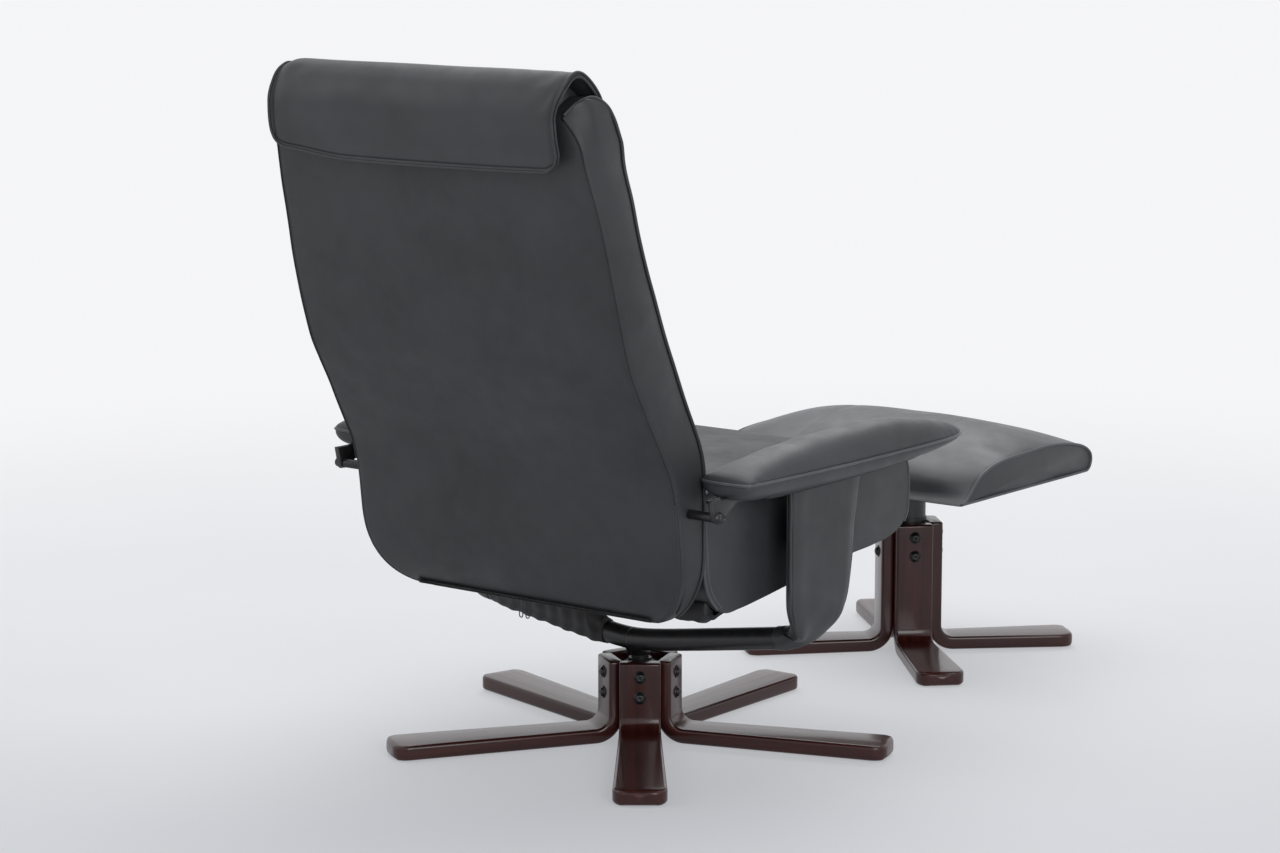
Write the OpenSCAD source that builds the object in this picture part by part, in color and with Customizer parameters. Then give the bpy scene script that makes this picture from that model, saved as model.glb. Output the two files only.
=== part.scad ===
// Recliner with ottoman: a swivel recliner on a five-legged bent wood base and a footstool on four legs.
// Millimetres, +Z up, front of the chair towards -Y, the person's left arm towards +X.
// Lengths come from the named sizes below. Tables named shares are proportions of one named size.

/* [Chair sizes] */
// Height of the seat's crown above the floor
seat_h = 450; // [420:1:480]
// Depth of the seat from its rear to its front face
seat_d = 510; // [470:1:550]
// Half width of the upholstered back at its widest
back_half_w = 292; // [265:1:320]
// Length of the back from its lower edge to its shoulder
back_h = 720; // [670:1:770]
// Depth of the back below the pivot
back_lower_d = 52; // [48:1:60]
// Crown of the back cushion in front of its piping
back_crown = 88; // [60:1:95]
// Width of an arm pad
arm_w = 88; // [80:1:100]
// Thickness of an arm pad at its crown
arm_t = 80; // [70:1:90]
// Thickness of the leather sleeve round an arm upright
sleeve_t = 42; // [40:1:50]

/* [Base sizes] */
// Number of legs under the chair
chair_legs = 5; // [5:1:5]
// Reach of a chair leg from the swivel axis
chair_leg_r = 384; // [360:1:410]
// Height of the chair legs' uprights
chair_upright_h = 125; // [120:1:130]
// Thickness of the bent wood
leg_t = 22; // [20:1:24]
// Width of a leg at its tip
leg_tip_w = 77; // [70:1:84]
// Width of a leg at its upright
leg_w = 62; // [58:1:64]
// Inner radius of the bend between upright and foot
leg_bend_r = 20; // [16:1:26]
// Turn of the base about the swivel axis, in degrees
base_turn = 127.9; // [0:0.1:360]

/* [Frame sizes] */
// Outer diameter of the carrier tube
tube_d = 33; // [30:0.5:36]
// Wall of the carrier tube
tube_wall = 2.5; // [2:0.5:3]
// Rise of the carrier tube from the middle outwards, in degrees
tube_rise = 9; // [6:0.5:11]
// Diameter of the swivel spindle
spindle_d = 26; // [24:0.5:28]
// Diameter of the pivot rod
rod_d = 9.8; // [9:0.1:11]
// Radial clearance of running fits
run_gap = 0.05; // [0.03:0.01:0.08]

/* [Ottoman sizes] */
// Distance from the swivel axis to the ottoman's post
ottoman_y = 722; // [700:1:800]
// Width of the ottoman pad
ottoman_w = 500; // [460:1:540]
// Depth of the ottoman pad
ottoman_d = 393; // [370:1:420]
// Thickness of the ottoman pad at its crown
ottoman_t = 96; // [85:1:105]
// Height of the ottoman pad's underside above the floor
ottoman_base_h = 304; // [290:1:330]
// Reach of an ottoman leg from its post
ottoman_leg_r = 275; // [260:1:290]
// Height of the ottoman legs' uprights
ottoman_upright_h = 217; // [205:1:225]
// Diameter of the ottoman's post
post_d = 54; // [50:1:56]

/* [Part choice] */
// Which sub-part to build

/* [Hidden] */
$fn = 64;
over = 2;
touch = 0.3;
leather_t = 5;
cloth_t = 3;
glide_t = 2;
glide_d = 22;
leg_tip_r = 16.6;
leg_edge_r = 5;
leg_gap = 0.6;
bolt_d = 8;
bolt_hole_d = 8.4;
bolt_washer_d = 17;
bolt_washer_t = 1.6;
bolt_head_d = 13;
bolt_head_h = 5;
bolt_socket_d = 5.6;
bolt_socket_h = 3;
bolt_pitch = 31;
bolt_drop = 21;
hub_apothem = 35;
hub_top_drop = 12;
hub_base_z = 48;
bush_d = 34;
bush_flange_d = 46;
bush_flange_t = 3;
ott_apothem = 29;
ott_hub_drop = 5;
ott_hub_l = 70;
collar_d = 57.5;
collar_t = 6;
plate_t = 4;
board_t = 12;
screw_d = 5;
screw_head_d = 10;
screw_head_h = 3;
screw_l = 12;

// Seat and back stations, measured from the swivel axis
seat_half_w = back_half_w - 2;
seat_back_gap = 2;
back_y = seat_d * 231 / 510 + seat_back_gap;
pivot_inset = 38.3;
pivot_y = back_y + pivot_inset;
pivot_z = seat_h - 33.9;
pivot_rise = 171.1;
back_z = pivot_z - pivot_rise;

// Arm and sleeve stations, outwards from the middle
side_gap = 4;
arm_in_x = back_half_w + side_gap;
arm_x = arm_in_x + arm_w / 2;
rail_gap = 2;
rail_t = 5;
rail_in_x = back_half_w + rail_gap;
sleeve_in_x = rail_in_x + rail_t + side_gap + touch;
upright_x = sleeve_in_x + sleeve_t / 2;
sleeve_out_x = sleeve_in_x + sleeve_t;
tube_y = 19;
bend_r = 60;
arm_base_z = pivot_z + 5;
arm_board_z = arm_base_z + 8;
arm_plate_z = arm_board_z;
tube_z = chair_upright_h + 25;
hub_top_z = chair_upright_h - hub_top_drop;

// Shares of back_h, from the lower front corner of the back: [rearwards, up]
back_rear_shares = [[0.0042, 0.0000], [0.0181, 0.0083], [0.0347, 0.0250], [0.0514, 0.0528], [0.0639,
  0.0875], [0.0722, 0.1292], [0.0785, 0.1806], [0.0833, 0.2222], [0.0903, 0.2611], [0.1021, 0.3028],
  [0.1215, 0.3417], [0.1465, 0.3875], [0.1722, 0.4347], [0.1972, 0.4792], [0.2194, 0.5222], [0.2347,
  0.5667], [0.2486, 0.6125], [0.2604, 0.6569], [0.2722, 0.7014], [0.2819, 0.7458], [0.2931, 0.7903],
  [0.3056, 0.8347], [0.3181, 0.8792], [0.3292, 0.9222], [0.3389, 0.9625], [0.3458, 0.9958]];
back_top_shares = [[0.3375, 1.0153], [0.3208, 1.0278], [0.3014, 1.0347], [0.2764, 1.0299], [0.2556,
  1.0181], [0.2444, 0.9958]];
back_front_shares = [[0.2306, 0.9681], [0.2194, 0.9444], [0.2125, 0.8931], [0.2028, 0.8486], [0.1903,
  0.7847], [0.1778, 0.7389], [0.1639, 0.6972], [0.1479, 0.6556], [0.1181, 0.5819], [0.0889, 0.5208],
  [0.0604, 0.4611], [0.0347, 0.4097], [0.0111, 0.3556], [0.0014, 0.3167], [0.0000, 0.2986], [0.0000,
  0.0000]];
// The flap's outer line, from its lower rear edge over the top
flap_shares = [[0.3583, 0.8986], [0.3625, 0.9306], [0.3694, 0.9583], [0.3736, 0.9861], [0.3757, 1.0097],
  [0.3722, 1.0319], [0.3653, 1.0486], [0.3542, 1.0632], [0.3403, 1.0750], [0.3250, 1.0799], [0.3083,
  1.0778], [0.2917, 1.0688], [0.2764, 1.0556], [0.2646, 1.0431], [0.2549, 1.0292]];
// Shares of back_half_w and back_h: [half width, up]
back_width_shares = [[0.6712, 0.0000], [0.7466, 0.0035], [0.8219, 0.0153], [0.8870, 0.0347], [0.9384,
  0.0611], [0.9726, 0.0903], [0.9932, 0.1208], [1.0000, 0.1597], [1.0000, 0.3417], [0.9966, 0.3875],
  [0.9908, 0.4347], [0.9897, 0.5667], [0.9873, 0.6569], [0.9829, 0.7014], [0.9777, 0.7458], [0.9709,
  0.7903], [0.9623, 0.8347], [0.9486, 0.8792], [0.9384, 0.9222], [0.9384, 0.9625], [0.9384, 0.9931],
  [0.9349, 1.0167], [0.9212, 1.0306], [0.8630, 1.0354]];
// Shares of seat_d and seat_h: [rearwards, up]
seat_side_shares = [[0.2353, 0.9600], [0.0000, 0.9689], [-0.1961, 0.9733], [-0.3725, 0.9711], [-0.4412,
  0.9622], [-0.4902, 0.9511], [-0.5176, 0.9333], [-0.5373, 0.9067], [-0.5451, 0.8667], [-0.5451,
  0.7822], [-0.5412, 0.7422], [-0.5255, 0.7156], [-0.4980, 0.6933], [-0.4569, 0.6778], [-0.3647,
  0.6622], [-0.2608, 0.6533], [-0.0980, 0.6289], [0.0569, 0.6089], [0.2020, 0.5889], [0.2941, 0.5789],
  [0.3471, 0.5778], [0.3824, 0.6000], [0.4118, 0.6333], [0.4294, 0.6644], [0.4392, 0.7000], [0.4471,
  0.7778], [0.4529, 0.8822], [0.4529, 0.9444]];
seat_cushion_shares = [[0.3922, 0.9556], [0.2353, 0.9644], [0.0000, 0.9733], [-0.1961, 0.9778],
  [-0.3725, 0.9733], [-0.4353, 0.9622], [-0.4765, 0.9467], [-0.5059, 0.9267], [-0.5255, 0.8978],
  [-0.5333, 0.8667], [-0.5333, 0.8267], [-0.5255, 0.7867], [0.4367, 0.7867], [0.4420, 0.9333]];
// Shares of ottoman_d and ottoman_t: [rearwards from the pad's middle, up]
pad_end_shares = [[0.5000, 0.0000], [0.4720, 0.0625], [0.4237, 0.2292], [0.3728, 0.3958], [0.3066,
  0.5000], [0.2405, 0.5625], [0.1667, 0.5938], [0.0802, 0.6146], [-0.0369, 0.6313], [-0.1412, 0.6354],
  [-0.2277, 0.6146], [-0.3117, 0.5729], [-0.3728, 0.5260], [-0.4262, 0.4688], [-0.4695, 0.3854],
  [-0.4949, 0.2812], [-0.4975, 0.1771], [-0.4873, 0.0833], [-0.4644, 0.0208], [-0.4313, 0.0000],
  [-0.1896, 0.0000], [0.0344, 0.0000], [0.2684, 0.0000]];
// Shares per arm station: [along seat_d, half width, offset, bottom, piping, crest]
arm_shares = [[0.4941, 0.3000, 0.0000, 0.3875, 0.4875, 0.5500], [0.4882, 0.4200, 0.0000, 0.2750, 0.4875,
  0.6125], [0.4765, 0.4750, 0.0000, 0.2375, 0.4913, 0.6375], [0.4471, 0.4980, 0.0000, 0.1375, 0.4938,
  0.6875], [0.4020, 0.5000, 0.0000, 0.0500, 0.4913, 0.7562], [0.3451, 0.5000, 0.0000, 0.0000, 0.4875,
  0.8187], [0.2353, 0.5000, 0.0000, 0.0000, 0.4750, 0.9125], [0.1196, 0.5000, 0.0000, 0.0000, 0.4688,
  0.9500], [0.0000, 0.5000, 0.0000, 0.0000, 0.4625, 0.9812], [-0.1471, 0.5000, 0.0000, 0.0000, 0.4625,
  1.0000], [-0.2549, 0.4950, 0.0000, 0.0000, 0.4625, 0.9625], [-0.3451, 0.4850, 0.0000, 0.0063, 0.4625,
  0.9125], [-0.4216, 0.4650, 0.0050, 0.0375, 0.4625, 0.8438], [-0.4863, 0.4300, 0.0100, 0.1000, 0.4625,
  0.7750], [-0.5392, 0.3750, 0.0150, 0.1750, 0.4625, 0.7063], [-0.5804, 0.2900, 0.0200, 0.2625, 0.4625,
  0.6250], [-0.6059, 0.1900, 0.0300, 0.3500, 0.4625, 0.5563], [-0.6196, 0.0800, 0.0350, 0.4188, 0.4600,
  0.5000]];

// Point tables in millimetres
function back_pt(p) = [back_y + p[0] * back_h, back_z + p[1] * back_h];
function back_pts(rows) = [for (p = rows) back_pt(p)];
function seat_pts(rows) = [for (p = rows) [p[0] * seat_d, p[1] * seat_h]];
function flap_rear_y() = back_y + max([for (p = flap_shares) p[0]]) * back_h;
function ottoman_front_y() =
  ottoman_y + (ottoman_leg_r + leg_tip_w / 2 - 2 * leg_tip_r) * cos(45) + leg_tip_r;
function ott_pad_y() = -ottoman_y + 36.5;
chair_shift = (ottoman_front_y() - flap_rear_y()) / 2;

// A polygon drawn inwards by t along its own normals, for points listed anticlockwise
function edge_normal(a, b) = [a[1] - b[1], b[0] - a[0]] / norm(b - a);
function inset(pts, t) = [for (i = [0:len(pts) - 1])
  let (n = len(pts), a = pts[(i + n - 1) % n], b = pts[i], c = pts[(i + 1) % n],
    m = edge_normal(a, b), k = edge_normal(b, c))
  b + t * (m + k) / max(1 + m * k, 0.4)];
// Interpolation of a table of [key, value] rows with rising keys
function look(x, rows) = lookup(x, rows);
function powsign(v, e) = sign(v) * pow(abs(v), e);

// A closed skin through rings of equally many points
function ring_faces(n, m) = concat(
  [for (i = [0:n - 2], j = [0:m - 1]) each [
    [i * m + j, (i + 1) * m + j, (i + 1) * m + (j + 1) % m],
    [i * m + j, (i + 1) * m + (j + 1) % m, i * m + (j + 1) % m]]],
  [for (j = [0:m - 1]) [n * m, j, (j + 1) % m]],
  [for (j = [0:m - 1]) [n * m + 1, (n - 1) * m + (j + 1) % m, (n - 1) * m + j]]);
function ring_mid(r) = [for (k = [0:2]) ([for (p = r) p[k]] * [for (p = r) 1]) / len(r)];
module loft(rings) {
  n = len(rings);
  m = len(rings[0]);
  polyhedron(points = concat([for (r = rings) each r], [ring_mid(rings[0])], [ring_mid(rings[n - 1])]),
    faces = ring_faces(n, m));
}

// A [y, z] outline drawn out along X between two half widths
module side_extrude(pts, x0, x1) {
  translate([x0, 0, 0])
    rotate([90, 0, 90])
      linear_extrude(x1 - x0)
        polygon(pts);
}
// An [x, z] outline drawn out along Y
module front_extrude(pts, y0, y1) {
  translate([0, y1, 0])
    rotate([90, 0, 0])
      linear_extrude(y1 - y0)
        polygon(pts);
}
module both_sides() {
  children();
  mirror([1, 0, 0])
    children();
}
module chair() {
  translate([0, chair_shift, 0])
    children();
}
module ottoman() {
  translate([0, chair_shift - ottoman_y, 0])
    children();
}
// A cylinder along +X
module rod_x(x0, x1, d) {
  translate([x0, 0, 0])
    rotate([0, 90, 0])
      cylinder(h = x1 - x0, d = d);
}

// Bent wood legs: the elevation drawn across the width, cut to the plan outline and to its own sector
module leg(upright_h, reach, outer_r, sector) {
  bend_x = outer_r + leg_bend_r;
  bend_z = glide_t + leg_t + leg_bend_r;
  intersection() {
    rotate([90, 0, 0])
      linear_extrude(leg_tip_w + over, center = true)
        leg_elevation(upright_h, reach, outer_r, bend_x, bend_z);
    linear_extrude(upright_h + over)
      leg_plan(reach, outer_r);
    linear_extrude(upright_h + over)
      polygon([[leg_gap, 0], [leg_gap + reach, -reach * tan(sector / 2)],
        [2 * reach, -reach * tan(sector / 2)], [2 * reach, reach * tan(sector / 2)],
        [leg_gap + reach, reach * tan(sector / 2)]]);
    leg_crown(upright_h, reach, outer_r);
  }
}
module leg_elevation(upright_h, reach, outer_r, bend_x, bend_z) {
  translate([outer_r - leg_t, bend_z])
    square([leg_t, upright_h - bend_z]);
  intersection() {
    difference() {
      translate([bend_x, bend_z])
        circle(leg_bend_r + leg_t);
      translate([bend_x, bend_z])
        circle(leg_bend_r);
    }
    translate([outer_r - leg_t - over, glide_t - over])
      square([leg_bend_r + leg_t + over, bend_z - glide_t + over]);
  }
  translate([bend_x, glide_t])
    square([reach - bend_x - leg_edge_r, leg_t]);
  translate([bend_x, glide_t])
    square([reach - bend_x, leg_t - leg_edge_r]);
  translate([reach - leg_edge_r, glide_t + leg_t - leg_edge_r])
    circle(leg_edge_r);
}
// The foot widens from the upright to its rounded tip
module leg_plan(reach, outer_r) {
  foot = reach - leg_tip_r;
  half = leg_tip_w / 2;
  polygon([[0, -leg_w / 2], [outer_r, -leg_w / 2], [foot, -half], [foot, half], [outer_r, leg_w / 2],
    [0, leg_w / 2]]);
  translate([foot - over, -half + leg_tip_r])
    square([leg_tip_r + over, leg_tip_w - 2 * leg_tip_r]);
  for (s = [-1, 1])
    translate([foot, s * (half - leg_tip_r)])
      circle(leg_tip_r);
}
// The upright's corners and the foot's long edges are eased by a chamfer
module leg_crown(upright_h, reach, outer_r) {
  ease = leg_edge_r / 2;
  rotate([90, 0, 90])
    linear_extrude(reach + over)
      polygon([[-leg_tip_w / 2, 0], [leg_tip_w / 2, 0],
        [leg_tip_w / 2, glide_t + leg_t - ease], [leg_tip_w / 2 - ease, glide_t + leg_t],
        [leg_w / 2, glide_t + leg_t], [leg_w / 2, upright_h - ease], [leg_w / 2 - ease, upright_h],
        [-leg_w / 2 + ease, upright_h], [-leg_w / 2, upright_h - ease], [-leg_w / 2, glide_t + leg_t],
        [-leg_tip_w / 2 + ease, glide_t + leg_t], [-leg_tip_w / 2, glide_t + leg_t - ease]]);
}
module leg_with_holes(upright_h, reach, outer_r, sector) {
  difference() {
    leg(upright_h, reach, outer_r, sector);
    for (z = bolt_levels(upright_h))
      translate([0, 0, z])
        rod_x(outer_r - leg_t - over, outer_r + over, bolt_hole_d);
  }
}
function bolt_levels(upright_h) = [upright_h - bolt_drop, upright_h - bolt_drop - bolt_pitch];

// A round-headed bolt with a socket and a washer, pointing inwards along -X with its seat at x = r
module radial_bolt(r, length) {
  rod_x(r - length, r + bolt_washer_t, bolt_d);
  difference() {
    union() {
      rod_x(r, r + bolt_washer_t, bolt_washer_d);
      rod_x(r + bolt_washer_t, r + bolt_washer_t + bolt_head_h, bolt_head_d);
    }
    translate([r + bolt_washer_t + bolt_head_h - bolt_socket_h, 0, 0])
      rotate([0, 90, 0])
        cylinder(h = bolt_socket_h + over, d = bolt_socket_d, $fn = 6);
  }
}

chair_outer_r = hub_apothem + leg_t;
ott_outer_r = ott_apothem + leg_t;

module chair_leg(k) {
  color([0.24, 0.08, 0.05])
    chair()
      rotate([0, 0, base_turn + k * 360 / chair_legs])
        leg_with_holes(chair_upright_h, chair_leg_r, chair_outer_r, 360 / chair_legs);
}
module base_hub() {
  color([0.12, 0.12, 0.12])
    chair()
      difference() {
        rotate([0, 0, base_turn - 180 / chair_legs])
          translate([0, 0, hub_base_z])
            cylinder(h = hub_top_z - hub_base_z, r = hub_apothem / cos(180 / chair_legs), $fn = 5);
        translate([0, 0, hub_base_z - over])
          cylinder(h = hub_top_z - hub_base_z + 2 * over, d = bush_d);
        for (k = [0:chair_legs - 1], z = bolt_levels(chair_upright_h))
          rotate([0, 0, base_turn + k * 360 / chair_legs])
            translate([0, 0, z])
              rod_x(bush_d / 2 + over, hub_apothem + over, bolt_d);
      }
}
bolt_l = leg_t + 14;
module leg_bolts() {
  color([0.1, 0.1, 0.1])
    chair()
      for (k = [0:chair_legs - 1], z = bolt_levels(chair_upright_h))
        rotate([0, 0, base_turn + k * 360 / chair_legs])
          translate([0, 0, z])
            radial_bolt(chair_outer_r, bolt_l);
}
// Felt discs under the feet, two to a leg
module glide_pair(reach, outer_r) {
  for (r = [reach - leg_tip_r - glide_d / 2, outer_r + leg_bend_r + glide_d])
    translate([r, 0, 0])
      cylinder(h = glide_t, d = glide_d);
}
module base_glides() {
  color([0.15, 0.15, 0.15])
    chair()
      for (k = [0:chair_legs - 1])
        rotate([0, 0, base_turn + k * 360 / chair_legs])
          glide_pair(chair_leg_r, chair_outer_r);
}
module swivel_bush() {
  color([0.75, 0.74, 0.7])
    chair()
      difference() {
        union() {
          translate([0, 0, hub_base_z])
            cylinder(h = hub_top_z - hub_base_z, d = bush_d);
          translate([0, 0, hub_top_z])
            cylinder(h = bush_flange_t, d = bush_flange_d);
        }
        translate([0, 0, hub_base_z - over])
          cylinder(h = hub_top_z - hub_base_z + bush_flange_t + 2 * over, d = spindle_d + 2 * run_gap);
      }
}

// Carrier: spindle, saddle and one bent tube to each arm
spindle_collar_t = 6;
spindle_base_z = hub_base_z - 4;
saddle_w = 64;
saddle_l = 70;
saddle_t = 6;
spindle_top_z = tube_z - tube_d / 2 - saddle_t;
module spindle() {
  color([0.1, 0.1, 0.11])
    chair() {
      translate([0, 0, spindle_base_z])
        cylinder(h = spindle_top_z - spindle_base_z, d = spindle_d);
      translate([0, 0, hub_top_z + bush_flange_t])
        cylinder(h = spindle_collar_t, d = bush_d);
      translate([0, 0, spindle_base_z - cloth_t])
        cylinder(h = cloth_t, d = bush_d - over);
    }
}
// The saddle plate lies on the spindle and cradles both tubes from below
module tube_saddle() {
  color([0.1, 0.1, 0.11])
    chair()
      difference() {
        translate([-saddle_w / 2, -saddle_l / 2 + tube_y / 2, spindle_top_z])
          cube([saddle_w, saddle_l, saddle_t + tube_d / 3]);
        both_sides()
          translate([0, tube_y, tube_z])
            rotate([0, 90 - tube_rise, 0])
              translate([0, 0, -saddle_w])
                cylinder(h = 3 * saddle_w, d = tube_d);
        translate([-saddle_w, tube_y - tube_d, tube_z - tube_d / 3])
          cube([2 * saddle_w, 2 * tube_d, tube_d]);
      }
}
bend_tangent = bend_r * tan((90 - tube_rise) / 2);
run_x = upright_x - bend_tangent * cos(tube_rise);
run_z = tube_z + run_x * tan(tube_rise);
bend_c_x = run_x - bend_r * sin(tube_rise);
bend_c_z = run_z + bend_r * cos(tube_rise);
weld_gap = 0.05;
module tube_ring() {
  difference() {
    circle(d = tube_d);
    circle(d = tube_d - 2 * tube_wall);
  }
}
module carrier_tube() {
  translate([0, tube_y, 0]) {
    intersection() {
      translate([0, 0, tube_z])
        rotate([0, 90 - tube_rise, 0])
          translate([0, 0, -tube_d])
            linear_extrude(tube_d + run_x / cos(tube_rise) - weld_gap)
              tube_ring();
      translate([0, -tube_d, 0])
        cube([upright_x, 2 * tube_d, seat_h]);
    }
    translate([bend_c_x, 0, bend_c_z])
      rotate([90, 0, 0])
        rotate([0, 0, tube_rise - 90])
          rotate_extrude(angle = 90 - tube_rise)
            translate([bend_r, 0])
              tube_ring();
    translate([upright_x, 0, bend_c_z + weld_gap])
      linear_extrude(arm_plate_z - bend_c_z - weld_gap)
        tube_ring();
  }
}
module carrier_tube_left() {
  color([0.08, 0.08, 0.09])
    chair()
      carrier_tube();
}
module carrier_tube_right() {
  color([0.08, 0.08, 0.09])
    chair()
      mirror([1, 0, 0])
        carrier_tube();
}

// Leather sleeve round the upright: an envelope with a thin rear edge that follows the tube's bend
// Section shares: [outwards from the tube's line, along Y: rearwards share above zero, forwards share below]
sleeve_section_shares = [[0.85, 1], [1, 0.86], [1, 0.45], [1, 0], [1, -0.45], [0.95, -0.8], [0.7, -0.97],
  [0.3, -1], [-0.3, -0.93], [-0.75, -0.72], [-1, -0.4], [-1, 0], [-1, 0.33], [-0.55, 0.55], [0, 0.78],
  [0.55, 0.96]];
// Station shares: [height over the bend, thickness, reach rearwards, reach forwards, roundness] of seat_h
sleeve_up_shares = [[1, 1, 0.178, 0.22, 0], [0.69, 1, 0.178, 0.192, 0], [0.4, 1, 0.178, 0.175, 0],
  [0.22, 1, 0.176, 0.163, 0], [0.08, 1, 0.17, 0.154, 0], [0, 1, 0.164, 0.148, 0]];
sleeve_turn_shares = [[0.2, 1, 0.126, 0.137, 0], [0.4, 1, 0.09, 0.121, 0.05], [0.6, 1, 0.064, 0.094, 0.2],
  [0.8, 1, 0.052, 0.072, 0.5], [1, 0.98, 0.047, 0.055, 0.8]];
sleeve_run_shares = [[0.3, 0.96, 0.046, 0.048, 1], [0.7, 0.93, 0.045, 0.045, 1],
  [1, 0.91, 0.0435, 0.0435, 1]];
sleeve_run = 46;
sleeve_clear = 3 * touch;
sleeve_sides = len(sleeve_section_shares);
// Station frames along the tube's line: [x, z, outward x, outward z, thickness, rearwards, forwards]
function sleeve_stations() = concat(
  [for (s = sleeve_up_shares)
    [upright_x, bend_c_z + s[0] * (arm_plate_z - bend_c_z), 1, 0, s[1], s[2], s[3], s[4]]],
  [for (s = sleeve_turn_shares) let (a = -s[0] * (90 - tube_rise))
    [bend_c_x + bend_r * cos(a), bend_c_z + bend_r * sin(a), cos(a), sin(a), s[1], s[2], s[3], s[4]]],
  [for (s = sleeve_run_shares)
    [run_x - s[0] * sleeve_run * cos(tube_rise), run_z - s[0] * sleeve_run * sin(tube_rise),
      sin(tube_rise), -cos(tube_rise), s[1], s[2], s[3], s[4]]]);
function sleeve_outer(f) = [for (i = [0:sleeve_sides - 1])
  let (p = sleeve_section_shares[i], a = (3 - i) * 360 / sleeve_sides, k = f[7],
    r = tube_d / 2 + sleeve_clear + cloth_t,
    t = p[0] * f[4] * sleeve_t / 2 * (1 - k) + r * cos(a) * k,
    y = p[1] * seat_h * (p[1] > 0 ? f[5] : f[6]) * (1 - k) + r * sin(a) * k)
  [f[0] + t * f[2], tube_y + y, f[1] + t * f[3]]];
function sleeve_inner(f) =
  let (r = (tube_d / 2 + sleeve_clear) / cos(180 / sleeve_sides))
  [for (i = [0:sleeve_sides - 1]) let (a = (3 - i) * 360 / sleeve_sides)
    [f[0] + r * cos(a) * f[2], tube_y + r * sin(a), f[1] + r * cos(a) * f[3]]];
// A skin with an outer and an inner surface, closed by a ring at each end
module shell_loft(outer, inner) {
  n = len(outer);
  m = len(outer[0]);
  k = n * m;
  polyhedron(points = concat([for (r = outer) each r], [for (r = inner) each r]),
    faces = concat(
      [for (i = [0:n - 2], j = [0:m - 1]) let (a = i * m + j, b = i * m + (j + 1) % m)
        each [[a, a + m, b + m], [a, b + m, b], [k + a, k + b + m, k + a + m], [k + a, k + b, k + b + m]]],
      [for (j = [0:m - 1]) let (a = j, b = (j + 1) % m) each [[a, b, k + b], [a, k + b, k + a]]],
      [for (j = [0:m - 1]) let (a = (n - 1) * m + j, b = (n - 1) * m + (j + 1) % m)
        each [[a, k + b, b], [a, k + a, k + b]]]));
}
module arm_sleeve() {
  difference() {
    shell_loft([for (f = sleeve_stations()) sleeve_outer(f)],
      [for (f = sleeve_stations()) sleeve_inner(f)]);
    for (y = rail_bolt_y())
      translate([0, y, rail_bolt_z])
        rod_x(sleeve_in_x - over, upright_x, rail_boss_d + 2 * touch);
  }
}
module arm_sleeve_left() {
  color([0.07, 0.08, 0.08])
    chair()
      arm_sleeve();
}
module arm_sleeve_right() {
  color([0.07, 0.08, 0.08])
    chair()
      mirror([1, 0, 0])
        arm_sleeve();
}

// Steel plate on each upright, let into the arm board: it reaches back to the pivot rod
plate_front_y = -62;
pad_rear_y = arm_shares[0][0] * seat_d + over;
plate_rear_y = pad_rear_y;
plate_w = sleeve_t * 2 / 3;
ear_l = 48;
ear_tip = 8;
ear_foot = 6;
boss_wall = 1.6;
boss_in_x = back_half_w + boss_wall;
ear_rise = 15;
ear_t = 9;
ear_x = arm_x + 5;
module arm_plate_bar() {
  translate([upright_x - plate_w / 2, plate_front_y, arm_plate_z])
    cube([plate_w, plate_rear_y - plate_front_y, plate_t]);
}
module arm_plate() {
  difference() {
    union() {
      arm_plate_bar();
      side_extrude([[pivot_y - ear_l, arm_plate_z], [pivot_y - ear_foot, pivot_z],
        [pivot_y + ear_foot, pivot_z], [pivot_y + ear_tip * 1.6, arm_board_z + touch],
        [pad_rear_y + ear_tip, arm_board_z + ear_rise], [pad_rear_y, arm_board_z + ear_rise],
        [pad_rear_y, arm_plate_z]], ear_x - ear_t, ear_x);
      translate([0, pivot_y, pivot_z])
        rod_x(boss_in_x, ear_x, rod_d + 2 * boss_wall);
    }
    translate([0, pivot_y, pivot_z])
      rod_x(boss_in_x - over, ear_x + over, rod_d);
    for (y = board_screw_y())
      translate([upright_x, y, arm_plate_z - over])
        cylinder(h = plate_t + 2 * over, d = screw_d);
  }
}
module arm_plate_left() {
  color([0.1, 0.1, 0.11])
    chair()
      arm_plate();
}
module arm_plate_right() {
  color([0.1, 0.1, 0.11])
    chair()
      mirror([1, 0, 0])
        arm_plate();
}

// Arm board and pad
board_half_w = arm_w * 0.31;
board_reach = seat_d * 0.36;
board_screw_depth = 9;
function board_screw_y() = [tube_y - tube_d - 4 * screw_d, tube_y + tube_d + 4 * screw_d];
module board_screw() {
  translate([0, 0, arm_plate_z])
    cylinder(h = board_screw_depth, d = screw_d);
}
module arm_board() {
  difference() {
    translate([arm_x - board_half_w, -board_reach, arm_board_z])
      cube([2 * board_half_w, 2 * board_reach, board_t]);
    arm_plate_bar();
    for (y = board_screw_y())
      translate([upright_x, y, 0])
        board_screw();
  }
}
module arm_board_left() {
  color([0.7, 0.56, 0.38])
    chair()
      arm_board();
}
module arm_board_right() {
  color([0.7, 0.56, 0.38])
    chair()
      mirror([1, 0, 0])
        arm_board();
}
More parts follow.
